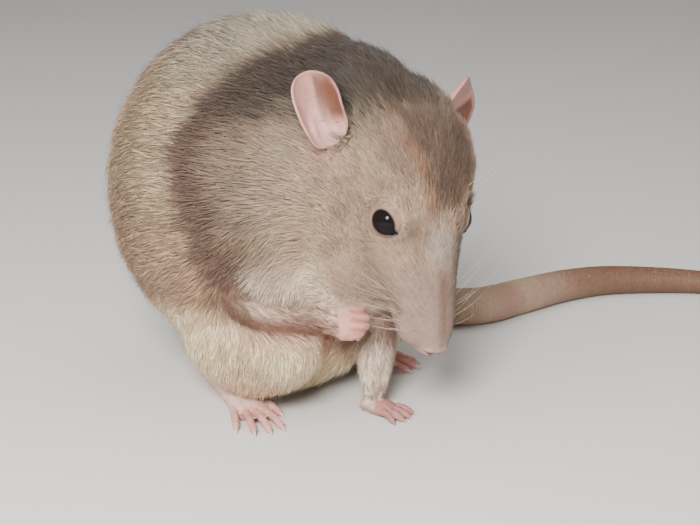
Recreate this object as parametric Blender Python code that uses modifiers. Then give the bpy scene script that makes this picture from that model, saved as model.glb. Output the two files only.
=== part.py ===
"""A large pet rat, sitting hunched on its haunches with its head bowed.

Its right hand is at its mouth, its left hand is on the floor, and its tail
lies on the floor past its left side. Units are metres. The rat faces -Y,
+X is its left, and the floor is z = 0. The origin is the middle of the flat
under its seat.
"""

import math

import bmesh
import bpy
from mathutils import Euler, Matrix, Vector

MM = 0.001

# Driving dimensions of a large buck, in mm
BODY_WIDTH = 72
BODY_DEPTH = 86
BODY_HEIGHT = 91
HEAD_LENGTH = 63
EAR_LENGTH = 18.5
EAR_WIDTH = 15.5
EAR_THICKNESS = 0.9
EYE_RADIUS = 3.8
HIND_FOOT_LENGTH = 41
TAIL_ROOT_RADIUS = 5.7
TAIL_TIP_RADIUS = 1.3

# Between one node and the next
GAP = 0.3 * MM

# The head's place: its nose tip in mm, and its turn from level and facing -Y
NOSE = (-4, -50.3, 20.4)
HEAD_TURN = (65, 6, -12.5)

# Triangles kept in the hide before it is parted
HIDE_TRIANGLES = 3900

# Colour and roughness by the start of a node's name
FINISHES = {
    "torso": ((0.62, 0.53, 0.42, 1), 0.85),
    "neck": ((0.27, 0.21, 0.17, 1), 0.85),
    "head": ((0.34, 0.28, 0.23, 1), 0.85),
    "lower_jaw": ((0.55, 0.47, 0.40, 1), 0.85),
    "upper_arm": ((0.40, 0.33, 0.27, 1), 0.85),
    "forearm": ((0.66, 0.57, 0.49, 1), 0.85),
    "hand": ((0.70, 0.46, 0.42, 1), 0.6),
    "thigh": ((0.72, 0.64, 0.52, 1), 0.85),
    "hind_foot": ((0.74, 0.56, 0.50, 1), 0.6),
    "ear": ((0.68, 0.44, 0.41, 1), 0.6),
    "eye": ((0.012, 0.009, 0.009, 1), 0.08),
    "tail": ((0.46, 0.34, 0.27, 1), 0.7),
}

SIDES = {"right": -1, "left": 1}


def clear_scene():
    for obj in list(bpy.data.objects):
        bpy.data.objects.remove(obj, do_unlink=True)


def new_collection(name):
    made = bpy.data.collections.new(name)
    bpy.context.scene.collection.children.link(made)
    return made


def new_material(name, colour, roughness):
    made = bpy.data.materials.new(name)
    made.use_nodes = True
    shader = made.node_tree.nodes["Principled BSDF"]
    shader.inputs["Base Color"].default_value = colour
    shader.inputs["Roughness"].default_value = roughness
    shader.inputs["Metallic"].default_value = 0
    made.diffuse_color = colour
    return made


def turned(degrees):
    return Euler([math.radians(a) for a in degrees]).to_matrix().to_4x4()


def object_of(name, bm, collection):
    """A new object that holds this bmesh, which is freed."""
    bmesh.ops.recalc_face_normals(bm, faces=bm.faces)
    mesh = bpy.data.meshes.new(name)
    bm.to_mesh(mesh)
    bm.free()
    made = bpy.data.objects.new(name, mesh)
    collection.objects.link(made)
    return made


def head_frame():
    """The head's own frame: the nose tip at 0, sizes as in HEAD_SECTIONS."""
    return (
        Matrix.Translation(Vector(NOSE) * MM)
        @ turned(HEAD_TURN)
        @ Matrix.Scale(HEAD_LENGTH / HEAD_SECTIONS[-1][0], 4)
    )


def ellipsoid(name, centre, semi, collection, turn=(0, 0, 0), frame=None, around=24):
    """A closed ellipsoid: centre and semi-axes in mm, turn in degrees, in the frame given."""
    place = (
        (frame or Matrix.Identity(4))
        @ Matrix.Translation(Vector(centre) * MM)
        @ turned(turn)
        @ Matrix.Diagonal((*[s * MM for s in semi], 1))
    )
    bm = bmesh.new()
    bmesh.ops.create_uvsphere(
        bm, u_segments=around, v_segments=around // 2 + 1, radius=1, matrix=place
    )
    return object_of(name, bm, collection)


def loft(name, rings, collection, frame=None):
    """A closed skin over rings of points, all with the same number of points, in mm."""
    place = frame or Matrix.Identity(4)
    bm = bmesh.new()
    loops = [[bm.verts.new(place @ (Vector(p) * MM)) for p in ring] for ring in rings]
    count = len(loops[0])
    for low, high in zip(loops, loops[1:]):
        for i in range(count):
            j = (i + 1) % count
            bm.faces.new((low[i], low[j], high[j], high[i]))
    bm.faces.new(loops[0])
    bm.faces.new(loops[-1])
    bmesh.ops.triangulate(bm, faces=[f for f in bm.faces if len(f.verts) > 4])
    return object_of(name, bm, collection)


def tapered_tube(name, points, radii, collection, sides=2, frame=None):
    """A closed tube through points in mm, with a radius in mm at each."""
    place = frame or Matrix.Identity(4)
    curve = bpy.data.curves.new(name, "CURVE")
    curve.dimensions = "3D"
    curve.bevel_depth = MM
    curve.bevel_resolution = sides
    curve.use_fill_caps = True
    spline = curve.splines.new("POLY")
    spline.points.add(len(points) - 1)
    for knot, point, radius in zip(spline.points, points, radii):
        knot.co = (*(place @ (Vector(point) * MM)), 1)
        knot.radius = radius
    made = bpy.data.objects.new(name, curve)
    collection.objects.link(made)
    return as_mesh(made)


def as_mesh(obj):
    """The object with its modifiers or its curve turned into a plain closed mesh."""
    bpy.context.view_layer.update()
    graph = bpy.context.evaluated_depsgraph_get()
    mesh = bpy.data.meshes.new_from_object(obj.evaluated_get(graph))
    bm = bmesh.new()
    bm.from_mesh(mesh)
    bmesh.ops.remove_doubles(bm, verts=bm.verts, dist=1e-6)
    bmesh.ops.recalc_face_normals(bm, faces=bm.faces)
    bm.to_mesh(mesh)
    bm.free()
    name, place = obj.name, obj.matrix_world.copy()
    homes = list(obj.users_collection)
    bpy.data.objects.remove(obj, do_unlink=True)
    made = bpy.data.objects.new(name, mesh)
    made.matrix_world = place
    for home in homes:
        home.objects.link(made)
    return made


def remove(objects):
    for obj in objects:
        bpy.data.objects.remove(obj, do_unlink=True)


def joined(name, objects, collection):
    """One mesh that holds all of these, still as separate surfaces."""
    bm = bmesh.new()
    for obj in objects:
        bm.from_mesh(obj.data)
    remove(objects)
    return object_of(name, bm, collection)


def melted(name, objects, collection, voxel, rounds):
    """These shapes run into one smooth skin: remeshed, then smoothed this many times."""
    made = joined(name, objects, collection)
    remesh = made.modifiers.new("remesh", "REMESH")
    remesh.mode = "VOXEL"
    remesh.voxel_size = voxel * MM
    smooth = made.modifiers.new("smooth", "SMOOTH")
    smooth.factor = 0.5
    smooth.iterations = rounds
    return as_mesh(made)


def thinned(obj, triangles):
    """The object with about this many triangles."""
    count = sum(len(p.vertices) - 2 for p in obj.data.polygons)
    decimate = obj.modifiers.new("thin", "DECIMATE")
    decimate.ratio = min(1, triangles / count)
    decimate.use_collapse_triangulate = True
    return as_mesh(obj)


def combined(obj, others, operation):
    """The object after a Boolean with these others, which are removed."""
    tools = bpy.data.collections.new("tools")
    for other in others:
        tools.objects.link(other)
    cut = obj.modifiers.new("cut", "BOOLEAN")
    cut.operation = operation
    cut.solver = "MANIFOLD"
    cut.operand_type = "COLLECTION"
    cut.collection = tools
    made = as_mesh(obj)
    remove(others)
    bpy.data.collections.remove(tools)
    return largest(made)


def largest(obj):
    """The object with only its largest closed surface."""
    bm = bmesh.new()
    bm.from_mesh(obj.data)
    left = set(bm.verts)
    pieces = []
    while left:
        reached = {left.pop()}
        edge = list(reached)
        while edge:
            for link in edge.pop().link_edges:
                for vert in link.verts:
                    if vert in left:
                        left.discard(vert)
                        reached.add(vert)
                        edge.append(vert)
        pieces.append(reached)

    def spread(piece):
        return math.prod(
            max(v.co[i] for v in piece) - min(v.co[i] for v in piece) + MM
            for i in range(3)
        )

    keep = max(pieces, key=spread)
    loose = [v for v in bm.verts if v not in keep]
    bmesh.ops.delete(bm, geom=loose, context="VERTS")
    bm.to_mesh(obj.data)
    bm.free()
    return obj


def copied(obj, name, collection):
    made = bpy.data.objects.new(name, obj.data.copy())
    made.matrix_world = obj.matrix_world
    collection.objects.link(made)
    return made


def swollen(obj, by, collection):
    """A copy pushed out along its normals, as a cutter that leaves a gap."""
    made = copied(obj, "swollen", collection)
    normals = [v.normal.copy() for v in made.data.vertices]
    for vert, normal in zip(made.data.vertices, normals):
        vert.co += normal * by
    return made


def parted(obj, name, shell, collection, helpers):
    """A new node of what lies in the shell, and the rest, which stands GAP away from it."""
    inside = copied(obj, name, collection)
    wider = swollen(shell, GAP, helpers)
    combined(inside, [shell], "INTERSECT")
    return combined(obj, [wider], "DIFFERENCE")


def above_floor(obj):
    """The object cut flat at the floor."""
    bm = bmesh.new()
    bm.from_mesh(obj.data)
    bmesh.ops.bisect_plane(
        bm,
        geom=bm.verts[:] + bm.edges[:] + bm.faces[:],
        dist=1e-7,
        plane_co=(0, 0, 0),
        plane_no=(0, 0, -1),
        clear_outer=True,
    )
    rim = [e for e in bm.edges if e.is_boundary]
    if rim:
        made = bmesh.ops.holes_fill(bm, edges=rim)
        bmesh.ops.triangulate(bm, faces=made["faces"])
    bmesh.ops.recalc_face_normals(bm, faces=bm.faces)
    bm.to_mesh(obj.data)
    bm.free()
    return obj


# The head, in its own frame in mm: x to its left, -y forward, z to its crown,
# and the nose tip at 0. Each section holds its distance behind the nose, its
# half width, and its reach up and down.
HEAD_SECTIONS = (
    (-0.8, 2.0, 1.7, 2.2),
    (0.4, 3.4, 2.9, 4.0),
    (3.2, 5.1, 4.3, 6.3),
    (8, 7.0, 5.9, 8.8),
    (13, 8.3, 7.6, 10.6),
    (19, 9.8, 9.6, 12.0),
    (26, 12.2, 11.6, 13.2),
    (33, 15.8, 13.6, 14.6),
    (40, 18.8, 15.2, 15.6),
    (47, 19.0, 15.6, 15.8),
    (54, 16.8, 14.2, 14.8),
    (60, 12.0, 10.5, 12.0),
    (63, 8.0, 7.0, 8.0),
)


def head_masses(helpers):
    """The skull and snout, whisker pads, cheeks, brows and lids."""
    frame = head_frame()
    around = 28
    rings = []
    for behind, half, up, down in HEAD_SECTIONS:
        ring = []
        for i in range(around):
            a = 2 * math.pi * i / around
            reach = up if math.sin(a) > 0 else down
            ring.append((half * math.cos(a), behind, reach * math.sin(a)))
        rings.append(ring)
    made = [loft("skull", rings, helpers, frame)]
    for sign in SIDES.values():
        masses = (
            ("pad", (3.5 * sign, 8.6, -2.4), (3.7, 6.4, 4.2)),
            ("cheek", (9.5 * sign, 38, -4), (10.5, 15, 12.5)),
            ("brow", (8.0 * sign, 30, 7.4), (3.6, 6.4, 3.4)),
        )
        for name, centre, semi in masses:
            made.append(ellipsoid(name, centre, semi, helpers, frame=frame))
        made.append(torus("lids", 4.3, 0.85, 1.5, 0.88, helpers, eye_frame(sign)))
    return made


# Shells in the head's frame that part it from the neck, and the neck from the rest
HEAD_SHELLS = {
    "head": ((0, 27, -1), (25, 34, 23)),
    "neck": ((0, 36, -3), (31, 37, 29)),
}

# The lower jaw in the head's frame: middle and semi-axes
JAW = ((0, 21, -9.2), (4.8, 11, 3.8))

# The trunk's masses: middle and semi-axes as shares of the body's width, depth
# and height
TRUNK = {
    "back": ((0, 0.035, 0.527), (0.5, 0.5, 0.473)),
    "rump": ((0, 0, 0.314), (0.375, 0.337, 0.33)),
    "belly": ((0, -0.035, 0.33), (0.458, 0.314, 0.308)),
    "chest": ((0, -0.14, 0.505), (0.375, 0.256, 0.33)),
    "shoulders": ((-0.03, -0.23, 0.593), (0.39, 0.22, 0.242)),
    "tail_base": ((0.04, 0.26, 0.155), (0.14, 0.18, 0.11)),
    "nape": ((-0.007, -0.21, 0.725), (0.31, 0.29, 0.231)),
}


def trunk_masses(helpers):
    body = (BODY_WIDTH, BODY_DEPTH, BODY_HEIGHT)
    made = []
    for name, (centre, semi) in TRUNK.items():
        place = [share * size for share, size in zip(centre, body)]
        reach = [share * size for share, size in zip(semi, body)]
        made.append(ellipsoid(name, place, reach, helpers))
    return made


# Masses at each side of the trunk, for the left: middle, semi-axes, turn
LIMB_MASSES = {
    "thigh": ((19, -8, 21), (12.5, 20, 17), (0, 0, -6)),
    "upper_arm": ((21.5, -17, 40), (10, 11, 13), (-20, 0, 0)),
}


def limb_mass(kind, sign, helpers, wider=0):
    centre, semi, turn = LIMB_MASSES[kind]
    return ellipsoid(
        kind,
        (centre[0] * sign, *centre[1:]),
        [s + wider for s in semi],
        helpers,
        turn=(turn[0], turn[1] * sign, turn[2] * sign),
        around=18,
    )


def eye_frame(sign):
    """The eye's place in the head: x across it, z out of it."""
    middle = Vector((9.7 * sign, 28.9, 6.0)) * MM
    out = Vector((sign, -0.25, 0.42)).normalized()
    back = Vector((0, 1, 0))
    across = (back - back.dot(out) * out).normalized()
    turn = Matrix((across, out.cross(across), out)).transposed().to_4x4()
    return head_frame() @ Matrix.Translation(middle) @ turn


def eye(side, collection):
    semi = [EYE_RADIUS] * 3
    frame = eye_frame(SIDES[side])
    return ellipsoid(f"eye_{side}", (0, 0, 0), semi, collection, frame=frame, around=16)


def torus(name, major, minor, height, squash, collection, frame):
    """A closed ring round the frame's z axis, in mm, narrowed along y."""
    rings = []
    around = 20
    across = 8
    for i in range(around):
        a = 2 * math.pi * i / around
        ring = []
        for k in range(across):
            b = 2 * math.pi * k / across
            reach = major + minor * math.cos(b)
            side = squash * reach * math.sin(a)
            ring.append((reach * math.cos(a), side, height + minor * math.sin(b)))
        rings.append(ring)
    bm = bmesh.new()
    loops = [[bm.verts.new(frame @ (Vector(p) * MM)) for p in ring] for ring in rings]
    for i in range(around):
        low, high = loops[i], loops[(i + 1) % around]
        for k in range(across):
            j = (k + 1) % across
            bm.faces.new((low[k], low[j], high[j], high[k]))
    return object_of(name, bm, collection)


# Each ear in the head's frame: its root, the way it stands, the way it opens
EARS = {
    "right": ((-22.4, 46.6, 6.0), (-0.27, 0.94, 0.16), (-0.10, -0.2, 0.95)),
    "left": ((13.9, 50.4, 1.8), (0.75, 0.63, -0.28), (0.45, -0.28, 0.85)),
}


def ear(side, collection):
    """A cupped pinna, an egg-shaped leaf curled about its length."""
    base, along, facing = (Vector(v) for v in EARS[side])
    along.normalize()
    facing = (facing - facing.dot(along) * along).normalized()
    across = along.cross(facing)
    frame = head_frame()
    around, rings = 22, 4

    def place(ring, k):
        a = 2 * math.pi * k / around
        out = ring / rings
        x = EAR_WIDTH / 2 * math.sin(a) * (1 - 0.2 * math.cos(a)) * out
        v = (1 - math.cos(a) * out) / 2
        bend = 5.2 + 7.5 * v
        return frame @ (
            (
                base
                + along * EAR_LENGTH * v
                + across * bend * math.sin(x / bend)
                + facing * (bend * (1 - math.cos(x / bend)) - 2.5 * (1 - out * out) * (1 - v))
            )
            * MM
        )

    bm = bmesh.new()
    middle = bm.verts.new(place(0, 0))
    loops = [[bm.verts.new(place(r, k)) for k in range(around)] for r in range(1, rings + 1)]
    for k in range(around):
        j = (k + 1) % around
        bm.faces.new((middle, loops[0][k], loops[0][j]))
        for low, high in zip(loops, loops[1:]):
            bm.faces.new((low[k], high[k], high[j], low[j]))
    made = object_of(f"ear_{side}", bm, collection)
    shell = made.modifiers.new("shell", "SOLIDIFY")
    shell.thickness = EAR_THICKNESS * MM
    shell.offset = 0
    return as_mesh(made)


def digit(root, tip, lift, radius, claw, collection, frame):
    """One finger or toe with its claw, arched by lift, in mm in the frame."""
    root, tip = Vector(root), Vector(tip)
    steps = 3
    points = []
    radii = []
    for i in range(steps + 1):
        t = i / steps
        points.append(root.lerp(tip, t) + Vector((0, 0, lift * math.sin(math.pi * t))))
        radii.append(radius * (1.0 - 0.18 * t))
    ahead = (points[-1] - points[-2]).normalized()
    points.append(points[-1] + ahead * 0.35 * radius)
    radii.append(radius * 0.62)
    finger = tapered_tube("digit", points, radii, collection, sides=1, frame=frame)
    hook = [points[-1] - ahead * 0.5 * radius]
    hook.append(hook[0] + ahead * claw * 0.6 + Vector((0, 0, 0.1 * claw)))
    hook.append(hook[0] + ahead * claw * 1.15 + Vector((0, 0, -0.3 * claw)))
    nail = tapered_tube("nail", hook, (0.45, 0.36, 0.14), collection, sides=1, frame=frame)
    return [finger, nail]


# Fingers from thumb side out: place across the palm, and length
FINGERS = ((-2.5, 4.8), (-0.9, 6.0), (0.8, 6.1), (2.4, 5.0))

# How far the fingers of each hand bend down, the share of them that shows, and
# each hand's size
FLAT_CURL = 0.05
FLAT_REACH = 1
FLAT_SIZE = 0.9
FIST_CURL = 1.25
FIST_REACH = 0.55
FIST_SIZE = 1.3


def hand(name, frame, curl, reach, collection, helpers):
    """A forepaw: palm at the frame's origin, fingers along -y, its back to +z."""
    palm = ellipsoid(name, (0, -2.6, 0.3), (3.5, 4.4, 2.1), collection, frame=frame, around=14)
    pieces = [ellipsoid("heel", (0, 1.0, 0.4), (2.8, 3.2, 2.2), helpers, frame=frame, around=12)]
    for x, full in FINGERS:
        length = full * reach
        root = (x * 0.9, -4.2, -0.2)
        tip = (x * 1.6, -4.6 - length * math.cos(curl), -0.4 - length * math.sin(curl))
        pieces += digit(root, tip, 0.8, 0.95, 1.4, helpers, frame)
    pieces.append(
        ellipsoid("thumb", (-3.1, -2.2, -0.5), (1.0, 1.3, 0.9), helpers, frame=frame, around=8)
    )
    return combined(palm, pieces, "UNION")


# Along a foot 41 long: distance from the heel, half width, and height
FOOT_SECTIONS = (
    (-0.5, 1.4, 3.4),
    (1.5, 2.7, 5.4),
    (8, 3.3, 6.0),
    (16, 3.6, 6.2),
    (24, 4.3, 5.2),
    (28.5, 4.5, 4.0),
    (30.5, 3.7, 3.0),
)

# Toes from the inner side: place across, where it leaves the sole, its reach
TOES = ((-4.0, 24.5, 34.5), (-2.2, 28.0, 38.4), (0, 28.6, 39.3), (2.2, 28.0, 38.2), (3.9, 22.5, 31))


def hind_foot(side, collection, helpers):
    """A hind foot on the floor, heel at its frame's origin and toes along -y."""
    sign = SIDES[side]
    frame = frame_at((10.5 * sign, 15, 0), (0.42 * sign, -0.91, 0), (0, 0, 1))
    frame = frame @ Matrix.Scale(HIND_FOOT_LENGTH / 41, 4)
    around = 14
    sunk = 0.12
    rings = []
    for behind, half, height in FOOT_SECTIONS:
        ring = []
        for i in range(around):
            a = 2 * math.pi * i / around
            ring.append((half * math.cos(a), -behind, height / 2 * (1 + math.sin(a)) - sunk))
        rings.append(ring)
    sole = loft(f"hind_foot_{side}", rings, collection, frame)
    pieces = []
    for x, start, reach in TOES:
        tip = (x * 1.55 * sign, -reach, 0.95)
        pieces += digit((x * 0.8 * sign, -start, 1.6), tip, 0.9, 1.1, 1.8, helpers, frame)
    return above_floor(combined(sole, pieces, "UNION"))


def frame_at(place, forward, up):
    """A frame at place in mm whose -y points forward and whose z leans to up."""
    ahead = Vector(forward).normalized()
    rise = Vector(up)
    rise = (rise - rise.dot(ahead) * ahead).normalized()
    turn = Matrix((ahead.cross(rise), -ahead, rise)).transposed().to_4x4()
    return Matrix.Translation(Vector(place) * MM) @ turn


# Forearm centrelines, each knot a place and a radius in mm, elbow first
FOREARMS = {
    "right": (
        (-25.0, -7.5, 32, 2.0),
        (-25.8, -10, 31.7, 5.4),
        (-25, -15, 30.4, 6.8),
        (-21.5, -20.5, 28.2, 6.4),
        (-17.5, -24.5, 26.4, 5.0),
        (-14.5, -27, 25.4, 3.8),
    ),
    "left": (
        (13, -19, 32, 3.0),
        (11, -21, 29, 6.0),
        (6, -25.5, 22, 6.0),
        (1.8, -28.5, 14, 4.8),
        (-0.4, -29.8, 8, 3.7),
        (-0.9, -29.8, 3.8, 2.9),
    ),
}

FOREARM_RINGS = 10

# Where the tail's centreline runs, seen from above, root first, in mm
TAIL_ROUTE = (
    (1, 20),
    (4, 30),
    (11, 38),
    (22, 39),
    (35, 30),
    (47, 12),
    (58, -4),
    (67, -13),
    (80, -16),
    (97, -19.5),
    (110, -25),
    (121, -35),
    (130, -47),
    (136, -62),
    (137, -78),
    (133, -93),
)
TAIL_LENGTHS = 4
TAIL_RINGS = 12

# How far the tail is sunk before it is cut flat at the floor, in mm
TAIL_SUNK = 0.3


def smooth_line(points, count):
    """Points evenly along a Catmull-Rom curve through these."""
    knots = [Vector(p) for p in points]
    knots = [2 * knots[0] - knots[1], *knots, 2 * knots[-1] - knots[-2]]
    fine = []
    per_span = 16
    for a, b, c, d in zip(knots, knots[1:], knots[2:], knots[3:]):
        for i in range(per_span):
            t = i / per_span
            square = 2 * a - 5 * b + 4 * c - d
            cube = 3 * b - a - 3 * c + d
            fine.append((2 * b + (c - a) * t + square * t * t + cube * t**3) / 2)
    fine.append(knots[-2])
    reached = [0]
    for a, b in zip(fine, fine[1:]):
        reached.append(reached[-1] + (b - a).length)
    made = []
    k = 0
    for i in range(count):
        want = reached[-1] * i / (count - 1)
        while k < len(reached) - 2 and reached[k + 1] < want:
            k += 1
        t = (want - reached[k]) / (reached[k + 1] - reached[k])
        made.append(fine[k].lerp(fine[k + 1], t))
    return made


def tail(collection):
    """The tail on the floor in lengths that stand GAP apart."""
    count = TAIL_LENGTHS * TAIL_RINGS + 1
    line = []
    radii = []
    for i, point in enumerate(smooth_line([(*p, 0) for p in TAIL_ROUTE], count)):
        t = i / (count - 1)
        radius = TAIL_TIP_RADIUS + (TAIL_ROOT_RADIUS - TAIL_TIP_RADIUS) * (1 - t**2.8)
        lift = 9 * max(0, 1 - 8 * t) ** 2
        line.append(Vector((point.x, point.y, radius - TAIL_SUNK + lift)))
        radii.append(radius)
    made = []
    for n in range(TAIL_LENGTHS):
        first = n * TAIL_RINGS
        points = line[first : first + TAIL_RINGS + 1]
        sizes = radii[first : first + TAIL_RINGS + 1]
        step = (points[-1] - points[-2]).normalized() * GAP / MM
        if n + 1 < TAIL_LENGTHS:
            points[-1] = points[-1] - step
        else:
            points.append(points[-1] + step)
            sizes.append(sizes[-1] * 0.5)
        made.append(
            above_floor(tapered_tube(f"tail_{n + 1}", points, sizes, collection, sides=3))
        )
    return made


def paint(collection):
    """One material for each kind of node."""
    made = {kind: new_material(kind, *finish) for kind, finish in FINISHES.items()}
    for obj in collection.objects:
        kind = next(k for k in FINISHES if obj.name.startswith(k))
        obj.data.materials.clear()
        obj.data.materials.append(made[kind])


# By the starts of their names, nodes that are cut back and what they are cut back from
MEETINGS = {
    "forearm_right": ("hand_right",),
    "forearm_left": ("hand_left", "hand_right"),
    "lower_jaw": ("hand_right", "forearm_right", "forearm_left"),
    "head": ("ear", "eye", "lower_jaw", "forearm", "hand_right"),
    "neck": ("ear", "lower_jaw", "forearm", "hand_right"),
    "upper_arm": ("forearm",),
    "thigh": ("forearm", "hand", "hind_foot"),
    "torso": ("forearm", "hand", "hind_foot", "tail_1"),
}


def nostril(sign, helpers):
    """A cutter for one nostril, slanted out and back from the nose tip."""
    turn = (0, 25 * sign, -30 * sign)
    centre = (1.7 * sign, -0.7, 0.2)
    semi = (0.8, 1.5, 0.6)
    frame = head_frame()
    return ellipsoid("nostril", centre, semi, helpers, turn=turn, frame=frame, around=12)


def forearm(side, collection):
    """A tapering tube from elbow to wrist."""
    line = smooth_line(FOREARMS[side], FOREARM_RINGS)
    points = [knot.xyz for knot in line]
    radii = [knot.w for knot in line]
    return tapered_tube(f"forearm_{side}", points, radii, collection, sides=3)


def hands(collection, helpers):
    """The right hand curled at the mouth, and the left flat on the floor."""
    fist = frame_at((-13.6, -28.2, 25.2), (0.72, -0.55, -0.1), (-0.5, -0.75, 0.4))
    fist = fist @ Matrix.Scale(FIST_SIZE, 4)
    flat = frame_at((-1.0, -30.2, 1.3), (0.0, -1, 0), (0, 0, 1))
    flat = flat @ Matrix.Scale(FLAT_SIZE, 4)
    right = hand("hand_right", fist, FIST_CURL, FIST_REACH, collection, helpers)
    left = hand("hand_left", flat, FLAT_CURL, FLAT_REACH, collection, helpers)
    return [right, above_floor(left)]


# How coarsely the trunk and the whole hide are melted, in mm, and how often smoothed
TRUNK_MELT = {"voxel": 2.5, "rounds": 14}
HIDE_MELT = {"voxel": 0.9, "rounds": 5}

# How far the shell that parts off a limb stands outside its mass, in mm
LIMB_SHELL = 1.5


def hide_nodes(collection, helpers):
    """One hide over every mass, parted into head, neck, limbs and torso."""
    trunk = melted("trunk", trunk_masses(helpers), helpers, **TRUNK_MELT)
    masses = [trunk, *head_masses(helpers)]
    for kind in LIMB_MASSES:
        masses += [limb_mass(kind, sign, helpers) for sign in SIDES.values()]
    hide = melted("torso", masses, collection, **HIDE_MELT)
    hide = above_floor(thinned(hide, HIDE_TRIANGLES))
    frame = head_frame()
    for name, (centre, semi) in HEAD_SHELLS.items():
        shell = ellipsoid("shell", centre, semi, helpers, frame=frame, around=20)
        hide = parted(hide, name, shell, collection, helpers)
    for side, sign in SIDES.items():
        for kind in LIMB_MASSES:
            shell = limb_mass(kind, sign, helpers, wider=LIMB_SHELL)
            hide = parted(hide, f"{kind}_{side}", shell, collection, helpers)


def main():
    clear_scene()
    rat = new_collection("rat")
    helpers = new_collection("helpers")
    hide_nodes(rat, helpers)
    head = bpy.data.objects["head"]
    combined(head, [nostril(sign, helpers) for sign in SIDES.values()], "DIFFERENCE")

    # The nodes that are made whole
    frame = head_frame()
    made = [ear(side, rat) for side in SIDES]
    made += [eye(side, rat) for side in SIDES]
    made.append(ellipsoid("lower_jaw", *JAW, rat, frame=frame, around=16))
    made += [forearm(side, rat) for side in SIDES]
    made += hands(rat, helpers)
    made += [hind_foot(side, rat, helpers) for side in SIDES]
    made += tail(rat)

    # What meets them is cut back from a swollen copy of each
    spaces = {obj.name: swollen(obj, GAP, helpers) for obj in made}
    for start, kinds in MEETINGS.items():
        for obj in [o for o in rat.objects if o.name.startswith(start)]:
            cutters = [
                copied(space, "cutter", helpers)
                for met, space in spaces.items()
                if met.startswith(kinds)
            ]
            combined(obj, cutters, "DIFFERENCE")
    paint(rat)
    remove(list(helpers.objects))
    bpy.data.collections.remove(helpers)


main()
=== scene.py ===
"""The looks of the pet rat: its skin, coat, eyes, ears, tail, claws and whiskers.

Lengths in the tables are in mm. The head's own frame has x to its left, -y
forward, z to its crown and the nose tip at 0.
"""

import math

import bmesh
import bpy
import numpy as np
from mathutils import Euler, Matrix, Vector
from mathutils.bvhtree import BVHTree
from mathutils.kdtree import KDTree


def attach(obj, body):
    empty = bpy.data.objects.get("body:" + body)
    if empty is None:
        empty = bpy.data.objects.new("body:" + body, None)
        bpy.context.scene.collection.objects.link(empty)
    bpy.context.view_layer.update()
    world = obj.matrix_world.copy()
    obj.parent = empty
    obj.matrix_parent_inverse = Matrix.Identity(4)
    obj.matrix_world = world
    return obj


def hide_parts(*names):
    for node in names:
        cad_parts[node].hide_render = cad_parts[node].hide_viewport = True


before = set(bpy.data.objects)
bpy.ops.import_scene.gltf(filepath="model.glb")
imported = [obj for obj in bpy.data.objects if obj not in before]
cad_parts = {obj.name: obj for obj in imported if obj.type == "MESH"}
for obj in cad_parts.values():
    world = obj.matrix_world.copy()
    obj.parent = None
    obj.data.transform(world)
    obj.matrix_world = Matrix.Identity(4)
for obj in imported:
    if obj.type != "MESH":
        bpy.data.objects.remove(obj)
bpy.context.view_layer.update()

MM = 0.001
SIDES = {"right": -1, "left": 1}


# Sizes and places


# The head's place, as in the part's source
NOSE = np.array((-4, -50.3, 20.4))
HEAD_TURN = (65, 6, -12.5)
TURN = np.array(Euler([math.radians(a) for a in HEAD_TURN]).to_matrix())

# Each eye's middle on the head and the way it looks
EYE_RADIUS = 3.8
EYES = {
    "right": ((-10.4, 29.7, 5.4), (-1, -0.25, 0.42)),
    "left": ((8.8, 28.9, 5.5), (1, -0.30, 0.66)),
}

# The opening of the lids: half length, half height, the slant of its long axis,
# and the inner corner's reach past it
LIDS = (2.8, 2.4, math.radians(20), 1.0)

# Each ear's root on the head, the way it points, the way its cup opens, how far its
# front edge is rolled, and its length
EAR_WIDTH = 15.5
EARS = {
    "right": ((-23.2, 46.5, 5.6), (-0.27, 0.94, 0.16), (-0.10, -0.2, 0.95), 1.0, 17.0),
    "left": ((10.6, 50.4, 2.4), (0.84, 0.53, -0.07), (0.05, -0.50, 0.86), 0.1, 18.0),
}

# Lines on one side of the head: the mouth from under the nose back, the edge of the
# whisker pad from below the eye to the mouth's corner, the shaded side of the snout,
# and the groove along its top
MOUTH = ((0, 4.2, -7.3), (1.8, 7.5, -8.3), (3.2, 10.5, -8.7), (4.3, 14, -9.2), (4.9, 18, -9.3))
CREASE = ((10.7, 21.5, -3.7), (8.4, 18, -5.0), (7.4, 14, -4.4), (6.9, 10.6, -2.4))
SNOUT_SIDE = ((8.2, 24.8, 8), (5.6, 18, 6.8), (5.2, 12, 5.8))
GROOVE = ((0, 15, 7.6), (0, 8, 5.4), (0, 3.5, 4.2))

# Where the skin's faces are cut smaller: how near the eyes and the nose, pass by pass
FINER = ((7.5, 7.0), (5.2, 4.2))

# The ball about the face, in the head's frame, where tufts stand on the fine skin
FACE_MIDDLE = (0, 22, 0)
FACE_RADIUS = 24

# Each hand's place, the ways its fingers and back point, and its size; its curl and
# reach, and where along it the fur of the arm ends
HANDS = (
    (((-13.6, -28.2, 25.2), (0.72, -0.55, -0.1), (-0.5, -0.75, 0.4), 1.3), 1.25, 0.55, 1.2),
    (((-1.0, -30.2, 1.3), (0.0, -1, 0), (0, 0, 1), 0.9), 0.05, 1.0, -0.9),
)
HEEL_DEPTH = 1.0

# The fist's fingers, in its own frame: grooves between them, and how wide they lie
FIST_GROOVES = (-1.7, 0, 1.7)
FIST_HALF = 2.6

# How far across each finger starts and its length; how far across each toe starts,
# and how far ahead it starts and ends. Both are as in the part's source
FINGERS = ((-2.5, 4.8), (-0.9, 6.0), (0.8, 6.1), (2.4, 5.0))
TOES = (
    (-4.0, 24.5, 34.5),
    (-2.2, 28.0, 38.4),
    (0, 28.6, 39.3),
    (2.2, 28.0, 38.2),
    (3.9, 22.5, 31),
)

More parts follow.
